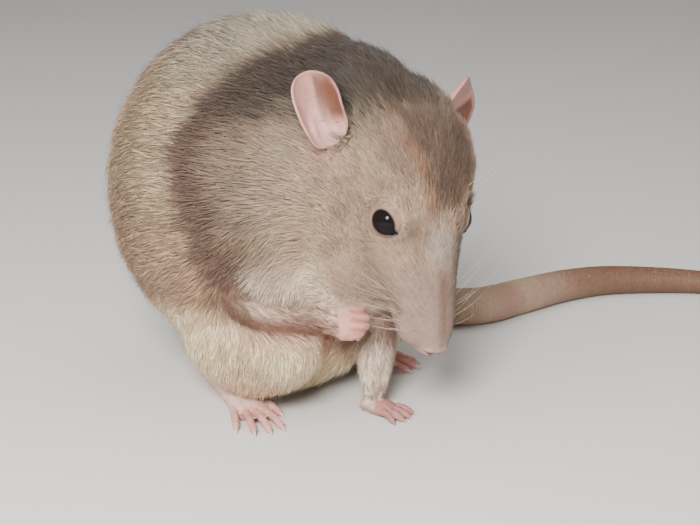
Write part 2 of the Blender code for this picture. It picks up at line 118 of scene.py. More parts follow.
# The raised right arm lies below this x; the middle of the shaded throat; and how far
# from the solids about the raised arm the shade in its folds can reach
RAISED_SIDE = -6
CHIN = (2, -30, 21)
FOLD_REACH = 9

# The tail's route on the floor, root first, as in the part's source
TAIL_ROUTE = (
    (1, 20),
    (4, 30),
    (11, 38),
    (22, 39),
    (35, 30),
    (47, 12),
    (58, -4),
    (67, -13),
    (80, -16),
    (97, -19.5),
    (110, -25),
    (121, -35),
    (130, -47),
    (136, -62),
    (137, -78),
    (133, -93),
)
TAIL_ROOT_RADIUS = 5.7
TAIL_TIP_RADIUS = 1.3
TAIL_SUNK = 0.3
TAIL_ROWS = 1300
TAIL_AROUND = 40
RING_PITCH = 0.72
BRISTLES = 9000

# By kind of solid: how deep its coat is, then a hair's length, width and lift in
# degrees, and how many there are to a mm2
COAT = {
    "head": (0.75, 3.1, 0.16, 14, 8.5),
    "lower_jaw": (0.5, 1.8, 0.14, 12, 8.0),
    "neck": (1.1, 4.8, 0.19, 14, 5.6),
    "torso": (1.35, 5.8, 0.20, 14, 4.7),
    "upper_arm": (1.0, 4.2, 0.19, 14, 5.2),
    "forearm": (0.7, 2.6, 0.16, 13, 7.5),
    "thigh": (1.15, 4.6, 0.20, 12, 5.0),
    "eye": (0.4, 0.8, 0.12, 10, 9.0),
    "hand": (0.55, 0.9, 0.09, 12, 2.5),
    "hind_foot": (0.55, 1.1, 0.10, 12, 3.0),
}
KINDS = list(COAT)
STRAY_SHARE = 0.05

# How many roots share a lock, and how far their tips close on its middle
LOCK_ROOTS = 9
LOCK_PULL = 0.55

# The solids of flesh, and those that the skin stands for
FLESH = sorted(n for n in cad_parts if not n.startswith(("tail", "ear")))
PAWS = [n for n in FLESH if n.startswith(("hand", "hind_foot"))]
FLESH_NODES = [n for n in FLESH if not n.startswith("eye")]

# How far the solids swell to close the gaps between them, the size of the cells
# that they are made anew in, and how much of the skin and of its bed is kept
SWELL = 0.2
SKIN_CELL = 0.42
PAW_CELL = 0.24
SKIN_KEPT = 0.36
BED_FACES = 26000

# The most faces of a piece of the coat, and each tuft's patch of its bake's map
MOST_FACES = 190000
PATCH = 0.003

# The two shapes of tuft: its triangles, and each corner's place along and across it.
# Both have three corners at the root and a tip, and the bent one has three midway
STRAIGHT = (((0, 2, 1), (0, 1, 3), (1, 2, 3), (2, 0, 3)), (0, 0, 0, 1), (0, 1, 0.5, 0.5))
BENT_SIDES = ((0, 2, 1), (0, 1, 4), (0, 4, 3), (1, 2, 5), (1, 5, 4), (2, 0, 3), (2, 3, 5))
BENT_TIP = ((3, 4, 6), (4, 5, 6), (5, 3, 6))
BENT = (BENT_SIDES + BENT_TIP, (0, 0, 0, 0.5, 0.5, 0.5, 1), (0, 1, 0.5, 0.1, 0.9, 0.5, 0.5))

# Where the photograph was taken from
TARGET = Vector((-10.5, -31, 39)) * MM
DISTANCE = 350 * MM
AZIMUTH = math.radians(-50)
ELEVATION = math.radians(17)
LENS = 80
SENSOR = 36

# Half the floor's side, and how far it lies below the rat
FLOOR_HALF = 1500
FLOOR_SUNK = 0.02

# Where the lamps point; then each lamp's place from there in m, towards the camera, to
# the camera's right and up, its shape, its power, its size, and whether it is mirrored
LIT = Vector((0, -10, 45)) * MM
LAMPS = {
    "key": ((0.42, -0.06, 0.12), "DISK", 4.4, 0.16, True),
    "fill": ((0.4, -0.45, 0.3), "DISK", 2.3, 0.6, False),
    "top": ((-0.1, 0, 0.75), "SQUARE", 1.8, 0.8, False),
}


# Numbers and vectors


def to_head(points):
    return (points - NOSE) @ TURN


def from_head(points):
    return points @ TURN.T + NOSE


def norm(vectors):
    return np.linalg.norm(vectors, axis=-1)


def unit(vectors):
    return vectors / np.maximum(np.linalg.norm(vectors, axis=-1, keepdims=True), 1e-9)


def columns(*values):
    """Vectors of these values, each of them an array or one number for all."""
    return np.stack(np.broadcast_arrays(*values), axis=-1)


def mirrored(h):
    """Points of the head as if they were all on its left."""
    return np.column_stack((np.abs(h[:, 0]), h[:, 1:]))


def laid(vectors, normals):
    """Vectors laid along the skin."""
    return vectors - (vectors * normals).sum(axis=1)[:, None] * normals


def on_floor(points, height=0.0):
    """The points, with those below this height set on it."""
    points[:, 2] = np.maximum(points[:, 2], height)
    return points


def step(low, high, value):
    """0 below low, 1 above high, and smooth between."""
    t = np.clip((value - low) / (high - low), 0, 1)
    return t * t * (3 - 2 * t)


def bell(value, width):
    """1 at 0, and falling smoothly to both sides."""
    return np.exp(-((value / width) ** 2))


def mixed(a, b, share):
    """Rows of colour or of vectors a turned into b by this share."""
    share = np.asarray(share)[..., None]
    return a * (1 - share) + b * share


def painted(colour, *coats):
    """A colour under coats, each of them a colour and its share."""
    for tone, share in coats:
        colour = mixed(colour, tone, share)
    return colour


def linear(red, green, blue):
    """Screen values up to 255 as linear light."""
    s = np.array((red, green, blue)) / 255
    return np.where(s < 0.04045, s / 12.92, ((s + 0.055) / 1.055) ** 2.4)


def noise(points, size, seed):
    """Smooth values from -1 to 1 at these points, with features of this size."""
    q = points / size + 31.7 * seed
    cell = np.floor(q).astype(np.int64)
    part = q - cell
    part = part * part * (3 - 2 * part)
    total = np.zeros(len(points))
    for corner in range(8):
        move = np.array((corner & 1, corner >> 1 & 1, corner >> 2 & 1))
        at = cell + move
        code = at[:, 0] * 73856093 ^ at[:, 1] * 19349663 ^ at[:, 2] * 83492791
        code = ((code ^ (seed * 7919)) & 0xFFFFFFF) * 48271 & 0xFFFFFFFF
        code = (code ^ (code >> 15)) * 69621 & 0xFFFFFFFF
        value = (code >> 8 & 0xFFFF) / 32767.5 - 1
        total += np.where(move, part, 1 - part).prod(axis=1) * value
    return total


def from_line(points, line):
    """Distance of each point from a line of knots."""
    nearest = np.full(len(points), 1e9)
    for a, b in zip(line, line[1:]):
        a = np.array(a, float)
        d = np.array(b, float) - a
        t = np.clip((points - a) @ d / (d @ d), 0, 1)
        nearest = np.minimum(nearest, norm(points - a - t[:, None] * d))
    return nearest


def averaged(values, edges):
    """The mean of each point's neighbours."""
    a, b = edges.T
    size = len(values)
    count = np.bincount(edges.ravel(), minlength=size)[:, None]
    total = [np.bincount(a, v[b], size) + np.bincount(b, v[a], size) for v in values.T]
    return np.stack(total, axis=1) / count


def relaxed(points, edges, weight, rounds):
    """Points evened out with their neighbours, each by its weight, without shrinking."""
    for _ in range(rounds):
        for push in (0.5, -0.52):
            points = points + push * weight[:, None] * (averaged(points, edges) - points)
    return points


def spread(values, edges, rounds):
    """Values averaged with their neighbours this many times."""
    for _ in range(rounds):
        values = 0.5 * values + 0.5 * averaged(values, edges)
    return values


# Meshes


def read(items, key, width, kind=np.float32):
    """What all items hold under this key, in rows of this width."""
    found = np.empty(len(items) * width, kind)
    items.foreach_get(key, found)
    return found.reshape(-1, width)


def put(items, key, values, kind=np.float32):
    items.foreach_set(key, values.astype(kind).ravel())


def points_of(mesh):
    return read(mesh.vertices, "co", 3).astype(float) / MM


def normals_of(mesh):
    return read(mesh.vertex_normals, "vector", 3).astype(float)


def edges_of(mesh):
    return read(mesh.edges, "vertices", 2, np.int32)


def move_to(mesh, points):
    put(mesh.vertices, "co", points * MM)
    mesh.update()


def mesh_of(name, points, faces):
    """A smooth mesh of points in mm and triangles."""
    mesh = bpy.data.meshes.new(name)
    mesh.vertices.add(len(points))
    put(mesh.vertices, "co", points * MM)
    mesh.loops.add(len(faces) * 3)
    put(mesh.loops, "vertex_index", faces, np.int32)
    mesh.polygons.add(len(faces))
    put(mesh.polygons, "loop_start", np.arange(len(faces)) * 3, np.int32)
    mesh.update(calc_edges=True)
    mesh.shade_smooth()
    return mesh


def write_coat(mesh, colours):
    """Stores a colour for each point of the mesh."""
    kept = mesh.attributes.new("coat", "FLOAT_VECTOR", "POINT")
    put(kept.data, "vector", colours)


def joined(name, meshes):
    """These meshes as one."""
    whole = bmesh.new()
    for mesh in meshes:
        whole.from_mesh(mesh)
    made = bpy.data.meshes.new(name)
    whole.to_mesh(made)
    whole.free()
    return made


def linked(name, data):
    """A new object in the scene."""
    made = bpy.data.objects.new(name, data)
    bpy.context.scene.collection.objects.link(made)
    return made


def modified(mesh, kind, **settings):
    """The mesh after one modifier."""
    helper = linked("helper", mesh)
    modifier = helper.modifiers.new("step", kind)
    for key, value in settings.items():
        setattr(modifier, key, value)
    bpy.context.view_layer.update()
    graph = bpy.context.evaluated_depsgraph_get()
    made = bpy.data.meshes.new_from_object(helper.evaluated_get(graph))
    bpy.data.objects.remove(helper)
    return made


def shown(name, mesh, materials, replaces=()):
    """A piece of the rat that rides with it."""
    made = linked(name, mesh)
    for material in materials:
        if material.name not in mesh.materials:
            mesh.materials.append(material)
    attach(made, "root")
    if replaces:
        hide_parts(*replaces)


# A triangle's corners the other way round
OTHER_WAY = [0, 2, 1]


def ring_faces(rings, around):
    """Triangles between closed rings of this many points."""
    i = np.arange(rings - 1)[:, None] * around
    k = np.arange(around)
    j = (k + 1) % around
    low = np.stack((i + k, i + around + k, i + around + j), axis=-1)
    high = np.stack((i + k, i + around + j, i + j), axis=-1)
    return np.concatenate((low, high)).reshape(-1, 3)


def cap_faces(first, around, hub):
    """Triangles from one point to the ring that starts at the first."""
    k = np.arange(around)
    j = (k + 1) % around
    return np.stack((np.full(around, hub), first + k, first + j), axis=1)


def closed_faces(rings, around):
    """Triangles over rings, closed by two points that follow them."""
    hub = rings * around
    top = cap_faces(0, around, hub)
    end = cap_faces(hub - around, around, hub + 1)[:, OTHER_WAY]
    return np.concatenate((ring_faces(rings, around), top, end))


def tube(path, radii, around):
    """Points and faces of a closed tube along a path, whose faces look inward."""
    path = np.array(path, float)
    ahead = unit(np.gradient(path, axis=0))
    first = np.array((0.0, 0.0, 1.0))
    if abs(ahead[0] @ first) > 0.9:
        first = np.array((1.0, 0.0, 0.0))
    rings = []
    across = unit(np.cross(ahead[0], first))
    a = np.linspace(0, 2 * math.pi, around, endpoint=False)[:, None]
    for point, way, radius in zip(path, ahead, radii):
        across = unit(across - (across @ way) * way)
        ring = np.cos(a) * across + np.sin(a) * np.cross(across, way)
        rings.append(point + radius * ring)
    points = np.concatenate([*rings, path[:1], path[-1:]])
    return points, closed_faces(len(rings), around)[:, OTHER_WAY]


def stacked(parts):
    """Several sets of points and faces as one."""
    points, faces, first = [], [], 0
    for some, few in parts:
        points.append(some)
        faces.append(few + first)
        first += len(some)
    return np.concatenate(points), np.concatenate(faces)


# The kinds of solid about a point


def kinds_are(kinds, *names):
    """The share of these kinds at each point."""
    return sum(kinds[:, KINDS.index(name)] for name in names)


def coat_column(i):
    """One column of the coat's table."""
    return np.array([row[i] for row in COAT.values()])


def tree_of(names):
    """These solids' faces for finding near places, and each face's kind."""
    corners, faces, kinds = [], [], []
    for name in names:
        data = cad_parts[name].data
        first = len(corners)
        corners += [tuple(v.co / MM) for v in data.vertices]
        faces += [[first + i for i in p.vertices] for p in data.polygons]
        kind = next(kind for kind in KINDS if name.startswith(kind))
        kinds += [KINDS.index(kind)] * len(data.polygons)
    return BVHTree.FromPolygons(corners, faces), kinds


def nearest_kinds(points):
    """For each point, which kind of solid is nearest."""
    tree, kinds = tree_of(FLESH)
    return np.array([kinds[tree.find_nearest(p)[2]] for p in points.tolist()])


def spread_kinds(points, edges, rounds):
    """The share of each kind at each point, with soft borders."""
    return spread(np.eye(len(KINDS))[nearest_kinds(points)], edges, rounds)


def distance_from(names, points, among):
    """How far some of the points are from these solids, up to FOLD_REACH."""
    tree, _ = tree_of(names)
    far = np.full(len(points), float(FOLD_REACH))
    for i in np.flatnonzero(among):
        hit = tree.find_nearest(points[i].tolist(), FOLD_REACH)
        if hit[0] is not None:
            far[i] = hit[3]
    return far


# The paws


def frame_at(place, forward, up, size):
    """Axes of a paw, whose -y points forward: its origin and its columns."""
    ahead = unit(np.array(forward, float))
    rise = np.array(up, float)
    rise = unit(rise - (rise @ ahead) * ahead)
    return np.array(place, float), np.stack((np.cross(ahead, rise), -ahead, rise), axis=1) * size


def foot_frame(sign):
    """A hind foot's frame, its heel at the origin and its toes along -y."""
    return frame_at((10.5 * sign, 15, 0), (0.42 * sign, -0.91, 0), (0, 0, 1), 1)


def in_hand(points, placed):
    """Points in a hand's own frame, and its axes."""
    origin, axes = frame_at(*placed)
    return (points - origin) @ axes / placed[3] ** 2, axes


def heel_share(points):
    """1 on the heels of the hands, which are furred as the forearms are."""
    share = np.zeros(len(points))
    ragged = 0.8 * noise(points, 0.9, 51)
    for placed, _, _, cuff in HANDS:
        local, _ = in_hand(points, placed)
        near = step(9, 7, norm(local))
        share = np.maximum(share, near * step(cuff - 3.0, cuff + 0.4, local[:, 1] + ragged))
    return share


def instep_share(points):
    """1 on the tops of the hind feet behind the toes, which have pale down."""
    share = np.zeros(len(points))
    ragged = 1.5 * noise(points, 1.6, 52)
    for sign in SIDES.values():
        origin, axes = foot_frame(sign)
        across, ahead, up = ((points - origin) @ axes).T
        near = (np.abs(across) < 7) & (ahead > -45) & (up < 9)
        back = step(-34, -27, ahead + ragged)
        share = np.maximum(share, near * back * step(1.6, 3.0, up))
    return share


def furred_heels(points, kinds):
    """The shares of each kind with the hands' heels given to the forearms."""
    hand, forearm = KINDS.index("hand"), KINDS.index("forearm")
    moved = heel_share(points) * kinds[:, hand]
    kinds[:, hand] -= moved
    kinds[:, forearm] += moved
    return kinds


def fist_places(points):
    """Points in the fist's own frame, how surely they are fingers, and their grooves."""
    local, axes = in_hand(points, HANDS[0][0])
    near = norm(local - (0, -4, 0)) < 9
    fingers = step(-2.2, -4.0, local[:, 1]) * near
    groove = sum(bell(local[:, 0] - x, 0.3) for x in FIST_GROOVES)
    return local, axes, fingers, groove * fingers


def folded_fist(points, normals):
    """The fist with its outer fingers laid in and grooves between all four."""
    local, axes, fingers, groove = fist_places(points)
    spare = np.sign(local[:, 0]) * np.maximum(np.abs(local[:, 0]) - FIST_HALF, 0)
    low = step(0.5, -1.0, local[:, 2])
    points = points - (0.85 * spare * fingers * low)[:, None] * axes[:, 0]
    return points - normals * (0.55 * groove)[:, None]


# The head


def head_share(h):
    """1 on the face and crown, 0 on the neck."""
    return step(1.0, 0.9, norm((h - np.array((0, 30, -1))) / np.array((24, 33, 22))))


def eye_axes(side):
    """The eye's middle in the head's frame, and its axes: back, up and out."""
    middle, out = (np.array(v, float) for v in EYES[side])
    out = unit(out)
    back = unit(np.array((0, 1, 0)) - out[1] * out)
    up = np.cross(out, back) * SIDES[side]
    return middle, np.stack((back, up, out), axis=1)


def at_eye(points, side):
    """Points of the head about an eye: in its frame, from its axis, and past the lids.

    The last value is the way round the eye, 0 at its inner corner.
    """
    middle, axes = eye_axes(side)
    local = (points - middle) @ axes
    long, high, slant, corner = LIDS
    u = local[:, 0] * math.cos(slant) - local[:, 1] * math.sin(slant)
    v = local[:, 0] * math.sin(slant) + local[:, 1] * math.cos(slant)
    reach = np.hypot(u, v) + np.where(np.abs(local[:, 2]) > 8, 50, 0)
    a = np.arctan2(v, -u)
    edge = 1 / np.sqrt((np.cos(a) / long) ** 2 + (np.sin(a) / high) ** 2)
    return local, reach, reach - (edge + corner * bell(a, 0.3)), a


def ear_axes(side):
    """The ear's root on the head, and its axes: to its front, along it, out of its cup."""
    base, along, facing = (np.array(v, float) for v in EARS[side][:3])
    along = unit(along)
    facing = unit(facing - (facing @ along) * along)
    return base, np.stack((np.cross(along, facing), along, facing), axis=1)


def cupped(x, v, out, roll):
    """Width and height of the ear's leaf, whose front edge rolls inward."""
    front = step(0.2, 2.8, x) * step(1.15, 0.75, v) * roll
    bend = (5.2 + 7.5 * v) * (1 - front) + 3.5 * front
    wide = bend * np.sin(x / bend)
    rise = 1 - (1 - roll) * step(0, 2.5, x)
    high = bend * (1 - np.cos(x / bend)) * rise - 2.5 * (1 - out * out) * (1 - v)
    return wide, high


def over_ear(h, side):
    """How far points of the head lie over the ear's leaf, and how surely over it."""
    base, axes = ear_axes(side)
    roll, size = EARS[side][3:]
    x, y, z = ((h - base) @ axes).T
    v = y / size
    out = np.hypot(x / (EAR_WIDTH / 2), 2 * v - 1)
    _, high = cupped(x.clip(-7.5, 3.3), v.clip(0, 1), out.clip(0, 1), roll)
    within = step(1.04, 0.88, out) * step(5.0, 3.8, x) * (z - high < 7)
    return z - high, within


def with_lids(h):
    """Points of the head with the skin about each eye drawn over the ball."""
    moved = h.copy()
    for side in SIDES:
        local, reach, past, _ = at_eye(h, side)
        near = (reach < 8) & (local[:, 2] > -2)
        ball = np.sqrt(np.maximum(EYE_RADIUS**2 - reach**2, 0.5))
        lid = ball + 0.26 - 1.5 * step(0.12, -0.3, past) - 0.3 * step(0.3, 1.2, past)
        height = lid + (local[:, 2] - lid) * step(0.4, 3.0, past)
        _, axes = eye_axes(side)
        shift = (height - local[:, 2])[:, None] * axes[:, 2]
        moved[near] += shift[near]
    return moved


def under_ears(h):
    """Points of the head kept under the leaf of each ear."""
    for side in SIDES:
        over, within = over_ear(h, side)
        _, axes = ear_axes(side)
        h = h - (within * np.maximum(over + 0.7, 0))[:, None] * axes[:, 2]
    return h


def pressed(h):
    """How deep the nostrils, the groove below them, the mouth and the crease go."""
    folded = mirrored(h)
    left, back, up = folded.T
    hole = columns(left - 1.75, back + 0.55, up - 0.1)
    slant = hole[:, 0] * 0.8 + hole[:, 1] * 0.6
    across = -hole[:, 0] * 0.6 + hole[:, 1] * 0.8
    depth = 0.95 * np.exp(-((slant / 1.0) ** 2) - (across / 0.9) ** 2 - (hole[:, 2] / 0.5) ** 2)
    wing = columns(left - 2.3, back - 0.3, up - 1.2)
    depth -= 0.3 * np.exp(-(wing**2).sum(axis=1) / 0.9)
    below = (back < 6) & (up < -0.4)
    depth += 0.4 * below * bell(left, 0.35) * step(-0.4, -1.4, up)
    depth += 0.55 * bell(from_line(folded, MOUTH), 0.45)
    depth += 0.5 * bell(from_line(folded, CREASE), 1.4)
    return depth


def face_details(points, normals):
    """The skin with lids, room for the ears, nostrils and the mouth line."""
    h = to_head(points)
    moved = under_ears(with_lids(h))
    near = h[:, 1] < 26
    moved[near] -= ((normals @ TURN) * pressed(h)[:, None])[near]
    return from_head(moved)


# The skin


def swollen(node, swell):
    """A solid's mesh, swollen so that the gap to its neighbours closes."""
    one = bmesh.new()
    one.from_mesh(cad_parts[node].data)
    bmesh.ops.remove_doubles(one, verts=one.verts, dist=1e-6)
    one.normal_update()
    for vert in one.verts:
        vert.co += vert.normal * swell * MM
    mesh = bpy.data.meshes.new("swollen")
    one.to_mesh(mesh)
    one.free()
    return mesh


def remeshed(nodes, swell, cell):
    """These solids as one closed skin in cells of this size."""
    solids = joined("solids", [swollen(node, swell) for node in nodes])
    return modified(solids, "REMESH", mode="VOXEL", voxel_size=cell * MM)


def refined(mesh):
    """The mesh with the faces about its eyes and nose cut smaller."""
    for by_eye, by_nose in FINER:
        bm = bmesh.new()
        bm.from_mesh(mesh)
        h = to_head(points_of(mesh))
        close = norm(h) < by_nose
        for side in SIDES:
            close |= norm(h - eye_axes(side)[0]) < by_eye
        bm.edges.ensure_lookup_table()
        picked = [e for e in bm.edges if close[e.verts[0].index] and close[e.verts[1].index]]
        bmesh.ops.subdivide_edges(bm, edges=picked, cuts=1, use_grid_fill=True)
        bm.to_mesh(mesh)
        bm.free()
    return mesh


def fine_paws():
    """The hands and feet in small cells, as one mesh."""
    mesh = remeshed(PAWS, 0.0, PAW_CELL)
    weight = np.full(len(mesh.vertices), 0.8)
    points = relaxed(points_of(mesh), edges_of(mesh), weight, 4)
    points = folded_fist(points, normals_of(mesh))
    points -= normals_of(mesh) * HEEL_DEPTH * heel_share(points)[:, None]
    move_to(mesh, on_floor(points))
    return mesh


def coat_depths(points, edges, kinds):
    """How deep the coat is over each point, and thin on the nose and by the floor."""
    depth = coat_column(0)[kinds][:, None] + SWELL
    depth = spread(depth, edges, 14)[:, 0]
    h = to_head(points)
    nose = step(16, 0, h[:, 1]) * step(30, 20, norm(h))
    depth = depth * (1 - nose) + (SWELL + 0.12) * nose
    return depth * step(-0.5, 3.5, points[:, 2])


def coarse_skin():
    """The whole skin but for the paws' detail, at the coat's depth inside the solids."""
    mesh = refined(remeshed(FLESH, SWELL, SKIN_CELL))
    points = points_of(mesh)
    edges = edges_of(mesh)
    kinds = nearest_kinds(points)
    depth = coat_depths(points, edges, kinds)
    weight = np.where(norm(to_head(points)) < 9, 0.4, 1.0)
    points = relaxed(points, edges, weight, 8)
    move_to(mesh, points)
    points = points - normals_of(mesh) * depth[:, None]
    points = relaxed(points, edges, weight * 0.8, 3)
    move_to(mesh, points)
    points = face_details(points, normals_of(mesh))
    fist = (kinds == KINDS.index("hand"))[:, None]
    points = np.where(fist, folded_fist(points, normals_of(mesh)), points)
    move_to(mesh, on_floor(points))
    return mesh


# Colours


NAPE = linear(80, 62, 48)
NAPE_DARK = linear(56, 46, 38)
HOOD_DARK = linear(118, 90, 73)
HOOD = linear(150, 124, 101)
HOOD_FRONT = linear(178, 155, 130)
CROWN = linear(146, 120, 98)
CROWN_DARK = linear(98, 78, 64)
CHEEK = linear(184, 156, 130)
MOTTLE = linear(150, 124, 102)
STREAK = linear(146, 100, 72)
# Painted highlight on the bridge of the nose, greyish
BRIDGE_HIGHLIGHT = linear(176, 160, 152)
SNOUT = linear(156, 129, 115)
PALE = linear(234, 210, 186)
BACK = linear(202, 178, 142)
FLANK = linear(192, 156, 125)
SPINE = linear(98, 86, 76)
BELLY = linear(255, 224, 185)
ARM = linear(222, 186, 164)
# Painted shade in the folds about the raised arm, darker at its elbow
FOLD_SHADE = linear(150, 98, 80)
ELBOW_SHADE = linear(120, 86, 70)
# Painted shade towards the rump
RUMP_SHADE = linear(158, 126, 100)
# Painted shade under the chin
THROAT_SHADE = linear(104, 64, 52)
# Painted shade along the top of the back
CREST_SHADE = linear(172, 158, 136)
# Painted shade on the far side of the face
FAR_SIDE_SHADE = linear(140, 112, 98)
INSTEP = linear(226, 198, 184)
PAW_HAIR = linear(226, 208, 196)
PAW_DOWN = linear(214, 180, 166)
PINK = linear(212, 148, 138)
SCALE_GAP = linear(176, 116, 108)
NOSE_PINK = linear(182, 146, 132)
EAR_PINK = linear(208, 156, 145)
# Brown of the rolled front, partly painted shade; pale of the cup, partly painted light shining
# through
EAR_BROWN_SHADE = linear(108, 68, 52)
EAR_PALE_GLOW = linear(222, 178, 170)
EAR_TAN = linear(160, 118, 98)
EAR_ROOT = linear(186, 136, 122)
DARK = linear(60, 44, 40)
CORNER = linear(112, 108, 132)
TAIL_TAN = linear(164, 134, 112)
TAIL_BROWN = linear(112, 79, 60)
BRISTLE = linear(216, 200, 178)
CLAW = linear(214, 190, 170)
WHISKER = linear(196, 180, 162)

# How far back the hood reaches down the body's sides: height, and y of its edge
HOOD_EDGE = (
    (0, 20, 30, 38, 46, 54, 62, 70, 77, 82, 86, 95),
    (-22, -18, -13, -9, -4, -1.5, 0, -1, -4.5, -8.5, -13.5, -18),
)

# Places along the spine's stripe and its half width there, and so for the crown's wedge
SPINE_HALF = ((-5, 8, 18, 30, 45), (0.5, 3.0, 13.0, 15.0, 8.0))
WEDGE_HALF = ((26, 32, 44, 55, 62), (1.5, 3.6, 7.0, 10.5, 12.5))


# Markings, painted shade and a painted highlight


def body_colour(points, ragged):
    """Cream above, tan low on the flank, pale under the belly, dark over the spine, with painted
    shade along the top of the back and towards the rump.
    """
    x, y, z = points.T
    torn = 1.2 * ragged + 2.4 * noise(points * (1, 0.4, 0.4), 1.5, 17)
    half = np.interp(y, *SPINE_HALF) + torn
    spine = step(2.5, -2.5, np.abs(x) - half) * step(-2, 10, y) * step(14, 30, z)
    return painted(
        BACK,
        (FLANK, step(60, 34, z + 2 * ragged)),
        (FLANK, 0.5 * step(0.1, 0.8, noise(points, 7.0, 8))),
        # Painted shade along the top of the back and towards the rump
        (CREST_SHADE, step(70, 86, z + ragged)),
        (RUMP_SHADE, 0.6 * step(8, 17, y + ragged)),
        (BELLY, step(27, 21, z + ragged) * step(30, 10, y)),
        (SPINE, 0.85 * spine),
    )


def hood_colour(points, ragged, behind, nape):
    """Darkest along the hood's hind edge and over the nape, paler towards the cheek."""
    _, y, z = points.T
    return painted(
        HOOD_FRONT,
        (HOOD, step(-24, -13, behind + ragged)),
        (HOOD_DARK, step(-13, -6, behind)),
        (nape, 0.95 * step(66, 77, z + 1.5 * ragged) * step(1, -3, behind)),
        (CHEEK, 0.8 * step(-20, -27, y) * step(64, 52, z + ragged)),
        (PALE, 0.9 * step(44, 36, z + ragged) * step(-15, -21, y + 0.5 * ragged)),
    )


def face_colour(points, h, ragged, nape):
    """A dark wedge over the crown with rusty edges and mottled cheeks, with painted shade on the
    far side, along the snout and in its creases, and a painted grey highlight on the bridge.
    """
    side, back, up = h.T
    folded = mirrored(h)
    left = folded[:, 0]
    patches = step(0.1, 0.75, noise(points, 3.4, 13) + 0.5 * noise(points, 1.7, 14))
    # Painted shade: the crown's dark wedge reaches further over the far temple only
    far_temple_shade = bell(back - 37, 9) * (side > 0)
    wave = np.interp(back, *WEDGE_HALF) + 1.3 * noise(points, 4.0, 9) + 6 * far_temple_shade
    above = step(5 - 4 * far_temple_shade, 9 - 4 * far_temple_shade, up) * step(24, 31, back)
    middle = step(wave + 0.5, wave - 2.0, left) * above
    streak = bell(left - wave, 1.3) * above
    # Painted shade along the snout's sides, in the whisker pad's crease and in the snout's groove
    beside = (0.2 + 0.24 * step(18, 24, back)) * bell(from_line(folded, SNOUT_SIDE), 2.9)
    crease_shade = 0.65 * bell(from_line(folded, CREASE), 1.3)
    groove = 0.65 * bell(from_line(folded, GROOVE), 1.2)
    ridge = step(4.6, 2.0, left) * step(3, 6, up)
    return painted(
        CHEEK,
        (MOTTLE, 0.25 + 0.5 * patches * step(10, 19, back)),
        (CROWN, step(9.5, 13, up + 0.25 * (back - 40) + ragged * 0.6)),
        (CROWN, step(46, 56, back + ragged)),
        (CROWN_DARK, 0.92 * middle * step(1.1, 0.2, noise(points, 3.0, 15))),
        (STREAK, 0.62 * streak * step(-0.6, 0.3, noise(points, 2.2, 16))),
        (nape, 0.95 * step(52, 61, back + ragged)),
        (SNOUT, step(24, 13, back)),
        # Painted shade on the far side of the snout, along its sides and round the far eye
        (FAR_SIDE_SHADE, 0.55 * step(1.2, 4.5, side) * step(30, 25, back)),
        (HOOD_DARK, beside),
        (CROWN_DARK, 0.8 * step(3.0, 1.0, at_eye(h, "left")[2])),
        # Painted shade in the crease and the groove
        (HOOD_DARK, np.maximum(crease_shade, groove)),
        # Painted highlight on the bridge
        (BRIDGE_HIGHLIGHT, 0.8 * ridge * bell(back - 21.5, 3.6)),
        (PALE, 0.7 * step(-10, -14, up) * step(40, 30, back)),
    )


def fold_shade(points, raised, trunk):
    """How deep points lie in the painted shade of the folds about the raised arm and under the
    fist.
    """
    x, y, z = points.T
    about = (np.abs(x + 16) < 22) & (y < -2) & (z > 8) & (z < 38)
    arm = distance_from(["forearm_right"], points, about)
    fist = distance_from(["hand_right"], points, about)
    rest = distance_from(["torso", "thigh_right"], points, about & (raised > 0.1))
    beneath = step(6.0, 2.5, fist) * step(-18, -13, x)
    fold = np.maximum(step(2.6, -0.3, arm), beneath) * trunk
    fold = np.maximum(fold, step(6.5, 1.5, rest) * raised)
    return (0.85 + 0.1 * noise(points, 1.5, 18)) * fold


def throat_share(points, h, ragged, forearm, trunk):
    """How deep points lie in the shade under the chin."""
    x, y, z = points.T
    shaded = (trunk + forearm).clip(0, 1) * step(-7, -4, x) * step(-21, -24, y)
    chin = head_share(h) * step(-33, -30.5, y) * step(-10, -14, h[:, 2])
    shaded = np.maximum(shaded, chin) * step(12, 9, norm(points - CHIN))
    shaded = shaded * step(-4.5, 3.5, z - 16.8 + 0.75 * x + 1.2 * ragged)
    return shaded * (1 - 0.6 * forearm * step(0, 4, x - 0.52 * z + 5.5))


def with_limbs(colour, points, h, ragged, kinds):
    """Pale limbs, the right elbow still under the hood, and painted shade in the folds and under
    the chin.
    """
    x, y, z = points.T
    elbow = step(-23, -16, y + 0.6 * ragged) * step(-15, -22, x)
    forearm = kinds_are(kinds, "forearm")
    raised = forearm * (x < RAISED_SIDE)
    trunk = kinds_are(kinds, "thigh", "torso", "neck")
    chest = step(21, 17, z + 0.5 * ragged) * step(-12, -16, y)
    return painted(
        colour,
        (mixed(PALE, HOOD_DARK, 0.85 * elbow), forearm),
        (ARM, raised * (1 - elbow)),
        (PALE, 0.5 * kinds_are(kinds, "upper_arm") * step(42, 34, z) * (1 - elbow)),
        (BELLY, kinds_are(kinds, "thigh") * step(30, 25, z + ragged)),
        (BELLY, 0.8 * chest * trunk),
        # Painted shade in the folds about the raised arm
        (mixed(FOLD_SHADE, ELBOW_SHADE, step(-26, -30, x)), fold_shade(points, raised, trunk)),
        # Painted shade under the chin
        (THROAT_SHADE, 0.88 * throat_share(points, h, ragged, forearm, trunk)),
    )


